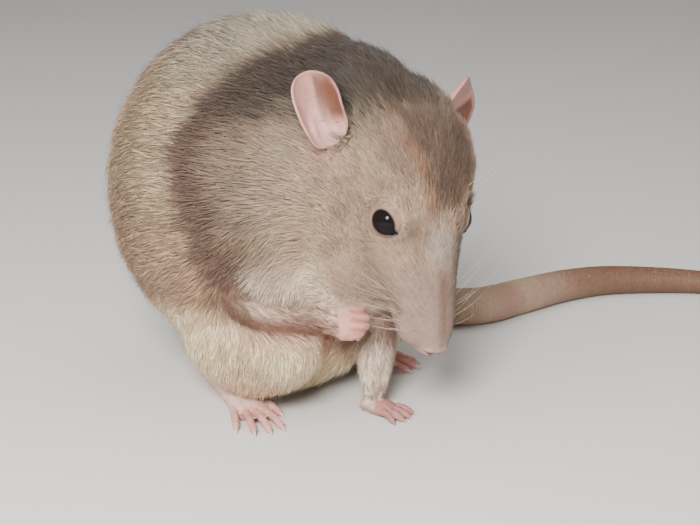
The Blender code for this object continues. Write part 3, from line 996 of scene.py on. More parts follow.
def markings(points, kinds):
    """The coat's colour at these points, with its painted shade and highlight, from their places
    alone.
    """
    h = to_head(points)
    _, y, z = points.T
    ragged = 1.5 * noise(points * (1, 0.45, 1), 3.0, 3) + 1.2 * noise(points, 9.0, 4)
    behind = y - (np.interp(z, *HOOD_EDGE) + ragged)
    nape = mixed(NAPE, NAPE_DARK, step(-4, -26, y))
    hood = hood_colour(points, ragged, behind, nape)
    border = step(-1, 1, behind / (1.2 + 3.5 * step(66, 82, z)))
    colour = mixed(hood, body_colour(points, ragged), border)
    colour = mixed(colour, face_colour(points, h, ragged, nape), head_share(h))
    colour = with_limbs(colour, points, h, ragged, kinds)
    # The hair is thin below the ears
    for base, along, *_ in EARS.values():
        spot = norm(h - np.array(base) + 3.5 * np.array(along))
        colour = mixed(colour, EAR_PINK, 0.55 * step(6.0, 2.0, spot + 0.4 * ragged))
    tone = 1 + 0.09 * noise(points, 2.2, 5) + 0.06 * noise(points, 6.0, 6)
    return colour * tone[:, None]


def bare_parts(points, colour):
    """The skin's colour: the coat's, with a bare nose, lids and lips."""
    h = to_head(points)
    folded = mirrored(h)
    tip = step(1.7, 0.3, h[:, 1] + 0.25 * h[:, 2]) * head_share(h)
    hole = norm((folded - (1.75, -0.3, 0.1)) / (1.0, 1.3, 0.7))
    colour = painted(
        colour * 0.82,
        (NOSE_PINK, 0.85 * tip),
        (DARK, 0.85 * step(1.2, 0.5, hole)),
        (DARK, 0.6 * bell(from_line(folded, MOUTH), 0.5)),
    )
    for side in SIDES:
        local, reach, past, a = at_eye(h, side)
        close = (reach < 7) * (local[:, 2] > 0)
        inner = close * step(0.5, 0.2, np.abs(a)) * step(0.3, 0.0, past) * step(2.5, 2.9, reach)
        colour = painted(
            colour,
            (NOSE_PINK * 0.6, close * step(0.75, 0.35, past) * 0.8),
            (DARK, close * step(0.42, 0.2, past)),
            (CORNER, 0.8 * inner),
        )
    return colour


def paw_colour(points):
    """Pink, paler where down grows, with painted shade over the flat hand and between the fingers.
    """
    pale = PINK * (1 + 0.12 * noise(points, 3.0, 31))[:, None]
    furred = 0.5 * step(0.2, 0.9, noise(points, 4.0, 32)) + 0.5 * heel_share(points)
    colour = mixed(pale, PAW_DOWN, furred.clip(0, 0.8))
    colour = mixed(colour, INSTEP, 0.75 * instep_share(points))
    # Painted shade over the flat hand
    flat = norm(points - HANDS[1][0][0])
    colour = colour * (1 - 0.38 * step(14, 10, flat))[:, None]
    # Painted shade between the fingers
    return mixed(colour, colour * (0.72, 0.5, 0.5), 0.8 * fist_places(points)[3].clip(0, 1))


# The coat


def flow_of(points, kinds):
    """Which way the hair lies, before it is laid along the skin."""
    x, y, z = points.T
    head = columns(0.45 * (to_head(points)[:, 0] / 16), 1.0, -0.25) @ TURN.T
    fall = 0.12 + 1.3 * step(5, 38, y) + 0.35 * step(30, 12, z)
    raised, lowered = (0.5, -0.85, -0.25), (-0.4, -0.3, -0.87)
    paw = np.array((0.0, -1.0, -0.3))
    ways = {
        "head": head,
        "lower_jaw": head,
        "eye": head,
        "neck": columns(0.2 * np.sign(x), 1.0, 0.55 * step(30, 70, z) - 0.25),
        "torso": columns(0.0, 1.0, -fall),
        "upper_arm": columns(0.1 * np.sign(x), 0.75, -0.75),
        "forearm": np.where(x[:, None] < RAISED_SIDE, raised, lowered),
        "thigh": np.array((0.0, 0.25, -1.0)),
        "hand": paw,
        "hind_foot": paw,
    }
    return sum(kinds_are(kinds, name)[:, None] * unit(way) for name, way in ways.items())


def coat_bed(skin):
    """What the coat is rooted in: a light copy of the skin with its unwrap."""
    mesh = modified(skin, "DECIMATE", ratio=BED_FACES / (2 * len(skin.polygons)))
    mesh = modified(mesh, "TRIANGULATE")
    holder = linked("bed", mesh)
    bpy.ops.object.select_all(action="DESELECT")
    holder.select_set(True)
    bpy.context.view_layer.objects.active = holder
    bpy.ops.object.mode_set(mode="EDIT")
    bpy.ops.mesh.select_all(action="SELECT")
    bpy.ops.uv.smart_project(angle_limit=math.radians(66), island_margin=0.002)
    bpy.ops.object.mode_set(mode="OBJECT")
    points = points_of(mesh)
    edges = edges_of(mesh)
    kinds = furred_heels(points, spread_kinds(points, edges, 3))
    bed = {
        "points": points,
        "normals": normals_of(mesh),
        "faces": read(mesh.loops, "vertex_index", 1, np.int32).reshape(-1, 3),
        "uv": read(mesh.uv_layers.active.uv, "vector", 2).reshape(-1, 3, 2).astype(float),
        "kinds": kinds,
        "flow": spread(unit(flow_of(points, kinds)), edges, 10),
    }
    bpy.data.objects.remove(holder)
    return bed


def rooted(bed, rng):
    """Where each tuft grows: its place, normal, flow, kinds and place on the unwrap."""
    corners = bed["points"][bed["faces"]]
    area = norm(np.cross(corners[:, 1] - corners[:, 0], corners[:, 2] - corners[:, 0]))
    thick = bed["kinds"] @ coat_column(4)
    wanted = 0.5 * area * thick[bed["faces"]].mean(axis=1)
    count = np.floor(wanted + rng.random(len(wanted))).astype(int)
    face = np.repeat(np.arange(len(count)), count)
    a = rng.random(len(face))
    b = rng.random(len(face))
    flip = a + b > 1
    a[flip] = 1 - a[flip]
    b[flip] = 1 - b[flip]
    share = np.stack((1 - a - b, a, b), axis=1)[:, :, None]

    def at(values):
        return (values[bed["faces"][face]] * share).sum(axis=1)

    return {
        "points": at(bed["points"]),
        "normals": unit(at(bed["normals"])),
        "flow": at(bed["flow"]),
        "kinds": at(bed["kinds"]),
        "uv": (bed["uv"][face] * share).sum(axis=1),
    }


def face_tree(mesh):
    """The fine skin of the face, for finding places on it."""
    points = points_of(mesh)
    mesh.calc_loop_triangles()
    faces = read(mesh.loop_triangles, "vertices", 3, np.int32)
    near = norm(to_head(points) - FACE_MIDDLE) < FACE_RADIUS + 2
    faces = faces[near[faces].all(axis=1)]
    return BVHTree.FromPolygons(points.tolist(), faces.tolist())


def on_face(roots, tree):
    """The roots with those of the face set down on the fine skin."""
    near = np.flatnonzero(norm(to_head(roots["points"]) - FACE_MIDDLE) < FACE_RADIUS)
    hits = [tree.find_nearest(p) for p in roots["points"][near].tolist()]
    roots["points"][near] = np.array([hit[0] for hit in hits])
    normals = np.array([hit[1] for hit in hits])
    roots["normals"][near] = unit(0.5 * roots["normals"][near] + 0.5 * normals)
    return roots


def only(roots, keep):
    return {key: value[keep] for key, value in roots.items()}


def trimmed(roots):
    """The roots but for those on eyes, nose, lips, soles and fingers and by the ears."""
    h = to_head(roots["points"])
    keep = roots["points"][:, 2] > 0.35
    for side in SIDES:
        local, reach, past, _ = at_eye(h, side)
        keep &= ~((past < 0.4) & (local[:, 2] > -1.0) & (reach < 7))
        over, within = over_ear(h, side)
        keep &= (within < 0.3) | (over < -2)
    keep &= ~((h[:, 1] + 0.25 * h[:, 2] < 1.3) & (np.abs(h[:, 0]) < 6) & (np.abs(h[:, 2]) < 8))
    keep &= from_line(mirrored(h), MOUTH) > 0.45
    paw = kinds_are(roots["kinds"], "hand", "hind_foot")
    keep &= (paw < 0.6) | (roots["normals"][:, 2] > 0.25)
    return only(roots, keep)


def locks(points, rng):
    """For each root, the way to the middle of its lock, and the lock's number."""
    count = max(1, len(points) // LOCK_ROOTS)
    middles = points[rng.choice(len(points), count, replace=False)]
    tree = KDTree(count)
    for i, middle in enumerate(middles.tolist()):
        tree.insert(middle, i)
    tree.balance()
    lock = np.array([tree.find(p)[1] for p in points.tolist()])
    return middles[lock] - points, lock


def tuft_sizes(roots, clump, rng, stray):
    """Each tuft's length, width and lift: small on the face and low by the floor."""
    size = len(roots["points"])
    _, y, z = roots["points"].T
    table = np.array([row[1:4] for row in COAT.values()])
    length, width, lift = (roots["kinds"] @ table).T
    h = to_head(roots["points"])
    small = step(32, 6, h[:, 1]) * head_share(h)
    by_eye = np.ones(size)
    for side in SIDES:
        _, reach, past, _ = at_eye(h, side)
        by_eye = np.minimum(by_eye, step(-0.3, 3.0, past) + (reach > 12))
    length = length * (1 - 0.6 * small) * (0.3 + 0.7 * by_eye)
    width = width * (1 - 0.3 * small) * (0.65 + 0.35 * by_eye)
    length = length * (1 + 0.2 * rng.standard_normal(size)).clip(0.5, 1.6)
    rump = step(8, 16, y)
    low = step(0, 6, z) * (1 - rump) + rump * step(1, 15, z)
    length = length * (0.35 + 0.65 * low)
    lift = lift * (1 + 0.45 * clump + 0.3 * rng.standard_normal(size)).clip(0.25, 2.2)
    if stray:
        length = length * 1.2
        width = width * 0.5
        lift = np.minimum(lift + 12, 30)
    return length, width, np.radians(lift) * (0.35 + 0.65 * low)


def tuft_rows(roots, clump, rng, bent, stray):
    """The corners of each tuft, from its root to its tip."""
    n = roots["normals"]
    length, width, lift = tuft_sizes(roots, clump, rng, stray)
    flow = unit(laid(roots["flow"], n))
    side = np.cross(n, flow)
    patch = noise(roots["points"], 8.0, 12)
    yaw = np.radians(7 * rng.standard_normal(len(n)) + 12 * clump + 10 * patch)[:, None]
    flow = flow * np.cos(yaw) + side * np.sin(yaw)
    side = np.cross(n, flow)
    base = roots["points"] - 0.15 * n
    pull = laid(roots["inward"], n) * (0.0 if stray else LOCK_PULL)
    reach = (length * np.cos(lift))[:, None] * flow
    rise = (length * np.sin(lift))[:, None] * n
    wide = (0.5 * width)[:, None] * side
    thick = (0.45 * width)[:, None] * n

    def ring(at, up, full):
        centre = base + at * reach + up * rise + at * at * pull
        return [centre - full * wide, centre + full * wide, centre + full * thick]

    midway = ring(0.5, 0.62, 0.8) if bent else []
    tip = base + reach + rise * (0.8 if bent else 1.0) + pull
    return [*ring(0, 0, 1.0), *midway, tip]


def tufts(roots, rng, colour, bent, stray):
    """One spike for each root: points, faces, a colour and a place on the unwrap."""
    size = len(roots["points"])
    clump = noise(roots["points"], 2.6, 11)
    rows = tuft_rows(roots, clump, rng, bent, stray)
    shape, along, over = BENT if bent else STRAIGHT
    points = on_floor(np.stack(rows, axis=1).reshape(-1, 3))
    faces = (np.arange(size)[:, None, None] * len(rows) + np.array(shape)).reshape(-1, 3)
    tone = 1 + 0.10 * rng.standard_normal(size) + 0.08 * clump + 0.09 * roots["tone"]
    # Painted shade at each tuft's root and painted light at its tip
    root_shade_tip_light = np.interp(along, (0, 0.5, 1), (0.78, 0.96, 1.08))
    own = (colour * tone[:, None])[:, None, :] * root_shade_tip_light[None, :, None]
    middle = PATCH / 2 + roots["uv"] * (1 - PATCH)
    place = middle[:, None, :] + PATCH * (np.stack((over, along), axis=1) - 0.5)[None]
    return points, faces, own.reshape(-1, 3).clip(0.004, 0.95), place.reshape(-1, 2)


def coat_pieces(name, roots, rng, colour, material, slot, bent=False, stray=False):
    """The tufts of these roots in pieces that each stay light."""
    shape = BENT if bent else STRAIGHT
    most = MOST_FACES // len(shape[0])
    count = math.ceil(len(roots["points"]) / most)
    order = np.argsort(roots["points"][:, 1] + 0.3 * roots["points"][:, 2], kind="stable")
    for i, part in enumerate(np.array_split(order, count)):
        points, faces, own, place = tufts(only(roots, part), rng, colour[part], bent, stray)
        mesh = mesh_of(f"{name}_{i + 1}", points, faces)
        write_coat(mesh, own)
        layer = mesh.uv_layers.new(name="OFBake", do_init=False)
        put(layer.uv, "vector", place[faces.ravel()])
        shown(f"{name}_{i + 1}", mesh, [material])


# Materials


# The sockets of a Mix node that are for colours
MIX_A, MIX_B, MIX_RESULT = 6, 7, 2


class Paint:
    """A material in the making."""

    def __init__(self, name, **sockets):
        self.material = bpy.data.materials.new(name)
        self.material.use_nodes = True
        self.tree = self.material.node_tree
        self.shader = self.tree.nodes["Principled BSDF"]
        for key, value in sockets.items():
            self.shader.inputs[key.replace("_", " ")].default_value = value

    def node(self, kind, inputs, **settings):
        """A node with these inputs, each a socket to link or a value to set."""
        made = self.tree.nodes.new(kind)
        for key, value in settings.items():
            setattr(made, key, value)
        for key, value in inputs.items():
            if isinstance(value, bpy.types.NodeSocket):
                self.tree.links.new(value, made.inputs[key])
            else:
                made.inputs[key].default_value = value
        return made

    def scaled(self, vector, factor):
        """A place or a colour times a factor."""
        inputs = {0: vector, "Scale": factor}
        return self.node("ShaderNodeVectorMath", inputs, operation="SCALE").outputs["Vector"]

    def place(self):
        """Places on the rat in mm."""
        found = self.node("ShaderNodeNewGeometry", {}).outputs["Position"]
        return self.scaled(found, 1 / MM)

    def own(self, factor):
        """The mesh's own colours times a factor."""
        kept = self.node("ShaderNodeAttribute", {}, attribute_name="coat").outputs["Color"]
        return self.scaled(kept, factor)

    def noise(self, size, detail=3.0, distortion=0.0):
        """A noise over the rat with features of this size in mm."""
        inputs = {"Vector": self.place(), "Scale": 1 / size, "Detail": detail}
        inputs["Distortion"] = distortion
        return self.node("ShaderNodeTexNoise", inputs).outputs["Fac"]

    def math(self, operation, *values):
        inputs = dict(enumerate(values))
        return self.node("ShaderNodeMath", inputs, operation=operation).outputs[0]

    def ranged(self, value, low, high, start=0.3, end=0.7):
        """A value from start to end turned into one from low to high."""
        inputs = {"Value": value, "From Min": start, "From Max": end, "To Min": low, "To Max": high}
        return self.node("ShaderNodeMapRange", inputs).outputs["Result"]

    def mix(self, a, b, factor):
        """Colour a turned into b by a factor."""
        inputs = {0: factor, MIX_A: a, MIX_B: b}
        return self.node("ShaderNodeMix", inputs, data_type="RGBA").outputs[MIX_RESULT]

    def finished(self, colour, roughness, height=None, strength=0.0, distance=0.0):
        """The material with this colour and roughness, and bumps of this height."""
        self.tree.links.new(colour, self.shader.inputs["Base Color"])
        self.tree.links.new(roughness, self.shader.inputs["Roughness"])
        if height is not None:
            inputs = {"Strength": strength, "Distance": distance * MM, "Height": height}
            bump = self.node("ShaderNodeBump", inputs)
            self.tree.links.new(bump.outputs["Normal"], self.shader.inputs["Normal"])
        return self.material


def fur_material():
    """Hair: its own colour, streaked, with a soft sheen."""
    paint = Paint("fur", Sheen_Weight=0.1, Sheen_Roughness=0.5, Specular_IOR_Level=0.15)
    fine = paint.noise(0.7)
    colour = paint.own(paint.ranged(fine, 0.92, 1.08))
    return paint.finished(colour, paint.ranged(fine, 0.6, 0.8))


def skin_material():
    """The skin under the coat, with the coat's colours and a fine nap."""
    paint = Paint("rat_skin", Specular_IOR_Level=0.25)
    fine = paint.noise(0.35, 4.0)
    colour = paint.own(paint.ranged(fine, 0.8, 1.15))
    return paint.finished(colour, paint.ranged(fine, 0.6, 0.85), fine, 0.6, 0.12)


def paw_material():
    """Bare pink skin with fine scales and creases."""
    paint = Paint("paw_skin", Subsurface_Weight=0.12, Subsurface_Scale=0.6 * MM)
    inputs = {"Scale": 2.4, "Vector": paint.place()}
    cells = paint.node("ShaderNodeTexVoronoi", inputs, feature="DISTANCE_TO_EDGE")
    groove = paint.ranged(cells.outputs["Distance"], 0.0, 1.0, 0.0, 0.12)
    soft = paint.noise(1.4)
    own = paint.own(paint.ranged(soft, 0.86, 1.1))
    colour = paint.mix((*SCALE_GAP, 1), own, paint.ranged(groove, 0.55, 1.0, 0, 1))
    return paint.finished(colour, paint.ranged(soft, 0.42, 0.6), groove, 0.5, 0.08)


def ear_material():
    """Thin ear skin: pink, finely veined and dusted with down."""
    paint = Paint("ear_skin", Subsurface_Weight=0.2, Subsurface_Scale=0.8 * MM)
    broad = paint.noise(4.0)
    veins = paint.noise(2.2, 4.0, 1.2)
    line = paint.math("ABSOLUTE", paint.math("SUBTRACT", veins, 0.5))
    own = paint.own(paint.ranged(broad, 0.9, 1.08))
    colour = paint.scaled(own, paint.ranged(line, 0.8, 1.0, 0.0, 0.025))
    return paint.finished(colour, paint.ranged(broad, 0.42, 0.6), veins, 0.35, 0.15)


def tail_material():
    """Ringed tail skin."""
    paint = Paint("tail_skin")
    fine = paint.noise(0.8)
    colour = paint.own(paint.ranged(fine, 0.85, 1.12))
    return paint.finished(colour, paint.ranged(fine, 0.5, 0.72), fine, 0.3, 0.06)


def eye_material():
    """A black eye under a wet cornea, faintly brown in its depth."""
    paint = Paint("eye", Specular_IOR_Level=0.12)
    depth = paint.noise(1.6)
    dark = paint.mix((0.004, 0.004, 0.005, 1), (0.012, 0.008, 0.008, 1), depth)
    return paint.finished(dark, paint.ranged(depth, 0.04, 0.1))


def horn_material(name, colour):
    """Claws and whiskers."""
    paint = Paint(name)
    grain = paint.noise(0.5)
    pale = paint.mix((*(colour * 0.8), 1), (*colour, 1), grain)
    return paint.finished(pale, paint.ranged(grain, 0.3, 0.5))


# The pieces


def skin(materials):
    """The one skin over all flesh, coloured as the coat is, and the coat's bed."""
    mesh = coarse_skin()
    bed = coat_bed(mesh)
    bed["face"] = face_tree(mesh)
    mesh = modified(mesh, "DECIMATE", ratio=SKIN_KEPT)
    coarse = len(mesh.vertices)
    whole = joined("skin", [mesh, fine_paws()])
    whole.shade_smooth()
    points = points_of(whole)
    kinds = spread_kinds(points, edges_of(whole), 6)
    found = step(0.5, 0.9, kinds_are(kinds, "hand", "hind_foot"))
    kinds = furred_heels(points, kinds)
    colour = bare_parts(points, markings(points, kinds))
    paw = 1 - heel_share(points) * step(1.0, 2.6, points[:, 2])
    paw[:coarse] *= found[:coarse]
    colour = mixed(colour, paw_colour(points), paw)
    write_coat(whole, colour.clip(0.004, 0.95))
    shown("skin", whole, materials, FLESH_NODES)
    bare = np.arange(len(whole.polygons)) >= len(mesh.polygons)
    put(whole.polygons, "material_index", bare, np.int32)
    return bed


def coat(bed, fur):
    """Every tuft of the coat."""
    rng = np.random.default_rng(7)
    roots = trimmed(on_face(rooted(bed, rng), bed["face"]))
    roots["inward"], lock = locks(roots["points"], rng)
    roots["tone"] = rng.standard_normal(lock.max() + 1)[lock]
    paw = kinds_are(roots["kinds"], "hand", "hind_foot")
    colour = mixed(markings(roots["points"], roots["kinds"]), PAW_HAIR, paw.clip(0, 1))
    h = to_head(roots["points"])
    short = (paw > 0.5) | (kinds_are(roots["kinds"], "forearm") > 0.5)
    short |= (h[:, 1] < 24) & (head_share(h) > 0.5)
    stray = (rng.random(len(short)) < STRAY_SHARE) & ~short
    for name, mask, slot, kind in (
        ("coat_fine", short, "hood_fur", {}),
        ("coat_long", ~short & ~stray, "pale_fur", {"bent": True}),
        ("coat_stray", stray, "pale_fur", {"stray": True}),
    ):
        coat_pieces(name, only(roots, mask), rng, colour[mask], fur, slot, **kind)


def eyes(material):
    """Each eye as a smooth ball with a slightly raised cornea."""
    around, rows = 72, 48
    a = np.linspace(0, 2 * math.pi, around, endpoint=False)
    b = np.linspace(0, math.pi, rows + 1)[1:-1, None]
    ring = columns(np.sin(b) * np.cos(a), np.sin(b) * np.sin(a), np.cos(b))
    bulge = 1 + 0.02 * step(0.6, 1.0, ring[..., 2:])
    ball = (EYE_RADIUS - 0.08) * ring * bulge
    ends = np.array(((0, 0, EYE_RADIUS), (0, 0, -EYE_RADIUS)))
    ball = np.concatenate((ball.reshape(-1, 3), ends))
    for side in SIDES:
        middle, axes = eye_axes(side)
        points = from_head(ball @ axes.T + middle)
        faces = closed_faces(rows - 1, around)
        if side == "right":
            faces = faces[:, ::-1]
        mesh = mesh_of(f"eyeball_{side}", points, faces)
        shown(f"eyeball_{side}", mesh, [material], [f"eye_{side}"])


def ear_tones(x, v, out):
    """The ear's colours: brown in the rolled front with painted shade, pale in the cup with painted
    light shining through, darker at the root.
    """
    roll = step(0.3, 1.6, x) * step(1.06, 0.86, v)
    pale = np.exp(-(((x + 0.8) / 2.6) ** 2) - (((v - 0.36) / 0.28) ** 2))
    return painted(
        EAR_PINK,
        (EAR_TAN, 0.5 * step(0.55, 0.95, v) * np.ones_like(x)),
        # Painted shade in the rolled front, over its brown
        (EAR_BROWN_SHADE, roll * step(0.2, 0.42, v)),
        # Painted light shining through the cup, over its pale pink
        (EAR_PALE_GLOW, 0.6 * pale),
        (EAR_ROOT, 0.6 * step(0.3, 0.08, v) * step(1, 0.5, out)),
        (EAR_ROOT, 0.5 * step(0.9, 1.0, out) * np.ones_like(v)),
    )


def ears(material):
    """Thin cupped ears with a rolled rim and folds at the root of the cup."""
    around, rings = 112, 26
    a = np.linspace(0, 2 * math.pi, around, endpoint=False)[None, :]
    out = np.linspace(0, 1, rings + 1)[1:, None]
    v = (1 - np.cos(a) * out) / 2
    x = EAR_WIDTH / 2 * np.sin(a) * (1 - 0.04 * np.cos(a)) * out
    x = x * (1 - 0.22 * step(0.45, 0.9, v) * (x > 0))
    rim = 0.3 * (step(0.9, 1.0, out) * step(0.1, 0.3, v))
    fold = 0.9 * np.exp(-(((x - 2.2) / 0.8) ** 2) - (((v - 0.3) / 0.16) ** 2))
    fold2 = 0.6 * np.exp(-(((x + 1.8) / 0.9) ** 2) - (((v - 0.26) / 0.14) ** 2))
    # The edge waves a little
    wave = 0.35 * out**3 * np.sin(3 * a + 0.8) * step(0.2, 0.6, v)
    tone = ear_tones(x, v, out)
    hub = rings * around
    faces = np.concatenate((ring_faces(rings, around), cap_faces(0, around, hub)))
    for side in SIDES:
        base, axes = ear_axes(side)
        roll, size = EARS[side][3:]
        wide, high = cupped(x, v, out, roll)
        high = high + rim + (fold + fold2) + wave
        spots = columns(wide, size * v, high) @ axes.T + base
        centre = base + (size / 2) * axes[:, 1] - 1.25 * axes[:, 2]
        points = np.concatenate((spots.reshape(-1, 3), centre[None]))
        mesh = mesh_of(f"pinna_{side}", from_head(points), faces)
        write_coat(mesh, np.concatenate((tone.reshape(-1, 3), EAR_PALE_GLOW[None])))
        mesh = modified(mesh, "SOLIDIFY", thickness=0.5 * MM, offset=0.0)
        shown(f"pinna_{side}", mesh, [material], [f"ear_{side}"])


def smooth_line(knots, count):
    """Points evenly along a Catmull-Rom curve through these, and its length."""
    knots = np.array(knots, float)
    knots = np.concatenate(([2 * knots[0] - knots[1]], knots, [2 * knots[-1] - knots[-2]]))
    fine = []
    for a, b, c, d in zip(knots, knots[1:], knots[2:], knots[3:]):
        t = np.linspace(0, 1, 40, endpoint=False)[:, None]
        square = 2 * a - 5 * b + 4 * c - d
        cube = 3 * b - a - 3 * c + d
        fine.append((2 * b + (c - a) * t + square * t * t + cube * t**3) / 2)
    fine = np.concatenate((*fine, knots[-2:-1]))
    reached = np.concatenate(([0], np.cumsum(norm(np.diff(fine, axis=0)))))
    want = np.linspace(0, reached[-1], count)
    return np.stack([np.interp(want, reached, line) for line in fine.T], axis=1), reached[-1]


def tail_tones(points, gap):
    """The tail's colours: tan, browner towards the tip and in the gaps of its rings."""
    tan = mixed(TAIL_TAN, TAIL_BROWN, step(78, 112, points[:, 0]))
    tone = mixed(tan, tan * (1.2, 1.36, 1.12), step(0.1, 0.6, noise(points, 9.0, 21)) * 0.6)
    tone = mixed(tone, tan * (0.8, 0.62, 0.7), step(0.1, 0.7, noise(points, 13.0, 22)) * 0.5)
    return tone * (1 - 0.3 * gap)[:, None]


def tail(material, fur, rng):
    """One ringed tail along the route, with a thin growth of bristles."""
    line, length = smooth_line(TAIL_ROUTE, TAIL_ROWS)
    t = np.linspace(0, 1, TAIL_ROWS)
    radius = TAIL_TIP_RADIUS + (TAIL_ROOT_RADIUS - TAIL_TIP_RADIUS) * (1 - t**2.8)
    lift = 9 * np.maximum(0, 1 - 8 * t) ** 2
    centre = np.concatenate((line, (radius - TAIL_SUNK + lift)[:, None]), axis=1)
    phase = t * length / RING_PITCH
    saw = phase % 1
    grow = np.minimum(1, (radius - 0.9) / 2.5)
    ridge = (0.11 * saw - 0.1 * (saw > 0.86) * (saw - 0.86) / 0.14) * grow
    taper = step(0, 0.006, t) * np.sqrt(np.clip((1 - t) / 0.008, 0, 1))
    inner = (radius - 0.16 + ridge) * np.maximum(taper, 0.05)
    points, faces = tube(centre, inner, TAIL_AROUND)

    def to_all(values):
        return np.repeat(values, TAIL_AROUND, axis=0)

    angle = np.tile(np.linspace(0, 2 * math.pi, TAIL_AROUND, endpoint=False), TAIL_ROWS)
    scale = 0.035 * np.sin(angle * 20 + math.pi * to_all(np.floor(phase)))
    body = points[: TAIL_ROWS * TAIL_AROUND]
    body += unit(body - to_all(centre)) * (scale * to_all(grow))[:, None]
    points = on_floor(points)
    gap = np.concatenate((to_all(bell(saw - 0.98, 0.13)), (0, 0)))
    mesh = mesh_of("tail", points, faces[:, ::-1])
    write_coat(mesh, tail_tones(points, gap))
    shown("tail", mesh, [material], [f"tail_{i}" for i in range(1, 5)])
    bristles(centre, radius, fur, rng)


def bristles(centre, radius, fur, rng):
    """Short hairs that grow from the tail's rings and lie towards the tip."""
    along = rng.random(BRISTLES) * 0.985 + 0.01
    low = np.floor(along * (len(centre) - 1)).astype(int)
    way = unit(np.gradient(centre, axis=0))[low]
    flat = unit(np.cross(way, (0, 0, 1.0)))
    rise = np.cross(flat, way)
    a = rng.random(BRISTLES) * 2 * math.pi
    n = np.cos(a)[:, None] * flat + np.sin(a)[:, None] * rise
    roots = {
        "points": centre[low] + (radius[low] - 0.1)[:, None] * n,
        "normals": n,
        "flow": way,
        "kinds": np.tile(np.eye(len(KINDS))[KINDS.index("hand")], (BRISTLES, 1)),
        "uv": np.stack((along, a / (2 * math.pi)), axis=1),
        "inward": np.zeros((BRISTLES, 3)),
        "tone": np.zeros(BRISTLES),
    }
    roots = only(roots, roots["points"][:, 2] > 0.5)
    colour = np.tile(BRISTLE, (len(roots["points"]), 1))
    coat_pieces("tail_bristles", roots, rng, colour, fur, "tail_skin")


def claw(root, tip, lift, radius, size):
    """A curved claw at the end of a digit from root to tip."""
    root, tip = np.array(root, float), np.array(tip, float)
    third = root + (tip - root) * 2 / 3 + (0, 0, lift * math.sin(math.pi * 2 / 3))
    ahead = unit(tip - third)
    start = tip + ahead * (0.35 - 0.5) * radius
    t = np.linspace(0, 1, 9)[:, None]
    path = start + ahead * size * 1.2 * t + np.array((0, 0, 0.3)) * size * t * (1 - 1.9 * t)
    radii = np.interp(t[:, 0], (0, 0.15, 0.6, 1), (0.3, 0.46, 0.34, 0.06))
    return tube(path, radii, 10)


def claws(material):
    """The claws of all four feet, whose frames are mirrored, so the faces look outward."""
    made = []
    for placed, curl, reach, _ in HANDS:
        origin, axes = frame_at(*placed)
        half = FIST_HALF if curl > 1 else 9
        for x, full in FINGERS:
            length = full * reach
            across = min(max(x * 1.6, -half), half)
            tip = (across, -4.6 - length * math.cos(curl), -0.4 - length * math.sin(curl))
            points, faces = claw((x * 0.9, -4.2, -0.2), tip, 0.8, 0.95, 1.4)
            made.append((points @ axes.T + origin, faces))
    for sign in SIDES.values():
        origin, axes = foot_frame(sign)
        for x, start, reach in TOES:
            tip = (x * 1.55 * sign, -reach, 0.95)
            points, faces = claw((x * 0.8 * sign, -start, 1.6), tip, 0.9, 1.1, 1.8)
            made.append((points @ axes.T + origin, faces))
    points, faces = stacked(made)
    shown("claws", mesh_of("claws", on_floor(points, 0.02), faces), [material])


def whisker_starts(sign):
    """Near where each whisker of a side grows, its way, its length and its radius."""
    starts = []
    for row in range(4):
        for place in range(5):
            spot = (sign * 8, 4.4 + 2.3 * place + 0.6 * row, 1.2 - 2.0 * row)
            out = (sign * 0.9, 0.1 + 0.12 * place, 0.4 - 0.33 * row)
            # Longer towards the cheek
            starts.append((spot, out, 8 + 5.6 * place, 0.048))
    for k in range(2):
        starts.append(((sign * 9, 33 + 2 * k, 11), (sign * 0.6, 0.2, 0.9), 14 + 2 * k, 0.045))
    starts.append(((sign * 17, 30, -4), (sign * 0.9, 0.35, 0), 12, 0.04))
    return starts


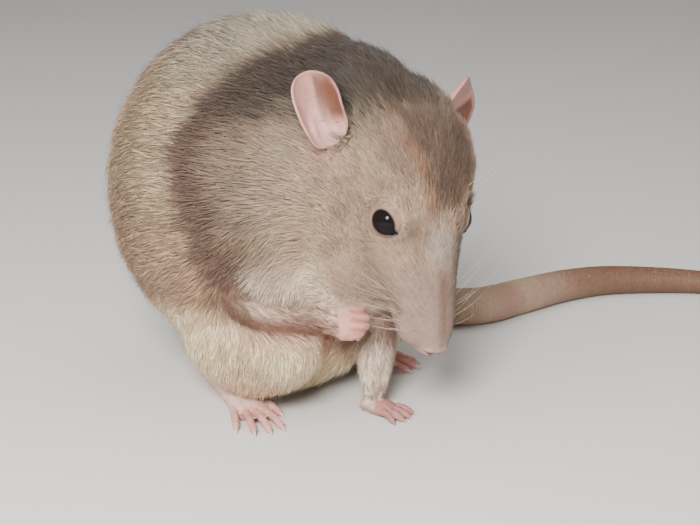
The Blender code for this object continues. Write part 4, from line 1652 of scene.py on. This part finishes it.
def whiskers(material, bed, rng):
    """Whiskers on the pads, brows and cheeks, as fine tapering tubes."""
    tree = BVHTree.FromPolygons(bed["points"].tolist(), bed["faces"].tolist())
    bend = np.array((0.0, 0.55, -0.25)) @ TURN.T
    t = np.linspace(0, 1, 15)[:, None]
    made = []
    for spot, way, length, thick in whisker_starts(-1) + whisker_starts(1):
        root = np.array(tree.find_nearest(from_head(np.array(spot, float)).tolist())[0])
        way = unit(np.array(way, float) + 0.07 * rng.standard_normal(3)) @ TURN.T
        full = length * (1 + 0.12 * rng.standard_normal())
        path = root - 0.4 * way + full * (way * t + 0.42 * bend * t * t)
        made.append(tube(on_floor(path, 0.3), thick * (1 - 0.85 * t[:, 0]), 6))
    points, faces = stacked(made)
    shown("whiskers", mesh_of("whiskers", points, faces[:, ::-1]), [material])


# The stage


def floor():
    corners = np.array(((-1, -1, 0), (1, -1, 0), (1, 1, 0), (-1, 1, 0)), float) * FLOOR_HALF
    corners[:, 2] = -FLOOR_SUNK
    mesh = mesh_of("floor", corners, np.array(((0, 1, 2), (0, 2, 3))))
    mesh.materials.append(Paint("floor", Roughness=0.8, Base_Color=(0.72, 0.70, 0.67, 1)).material)
    linked("floor", mesh)


def aimed(made, way):
    made.rotation_mode = "QUATERNION"
    made.rotation_quaternion = way.to_track_quat("-Z", "Y")


def lamp(name, place, shape, power, size, is_mirrored):
    data = bpy.data.lights.new(name, "AREA")
    data.shape = shape
    data.size = size
    data.energy = power
    made = linked(name, data)
    made.location = place
    made.visible_glossy = is_mirrored
    aimed(made, LIT - place)


def camera():
    """The photograph's view. Returns the way from its target to the camera."""
    level = math.cos(ELEVATION)
    back = Vector((math.sin(AZIMUTH) * level, -math.cos(AZIMUTH) * level, math.sin(ELEVATION)))
    data = bpy.data.cameras.new("camera")
    data.lens = LENS
    data.sensor_width = SENSOR
    data.clip_start = 0.01
    made = linked("camera", data)
    made.location = TARGET + DISTANCE * back
    aimed(made, -back)
    bpy.context.scene.camera = made
    return back


def light(back):
    """A small mirrored key lamp by the camera, two broad soft ones and an even sky."""
    above = Vector((0, 0, 1))
    right = above.cross(back).normalized()
    for name, ((near, beside, high), *kind) in LAMPS.items():
        lamp(name, LIT + back * near + right * beside + above * high, *kind)
    world = bpy.data.worlds.new("world")
    world.use_nodes = True
    sky = world.node_tree.nodes["Background"].inputs
    sky["Color"].default_value = (0.80, 0.80, 0.80, 1)
    sky["Strength"].default_value = 0.44
    bpy.context.scene.world = world


def main():
    light(camera())
    floor()
    fur = fur_material()
    bed = skin([skin_material(), paw_material()])
    eyes(eye_material())
    ears(ear_material())
    tail(tail_material(), fur, np.random.default_rng(3))
    claws(horn_material("claw", CLAW))
    whiskers(horn_material("whisker", WHISKER), bed, np.random.default_rng(5))
    coat(bed, fur)


main()
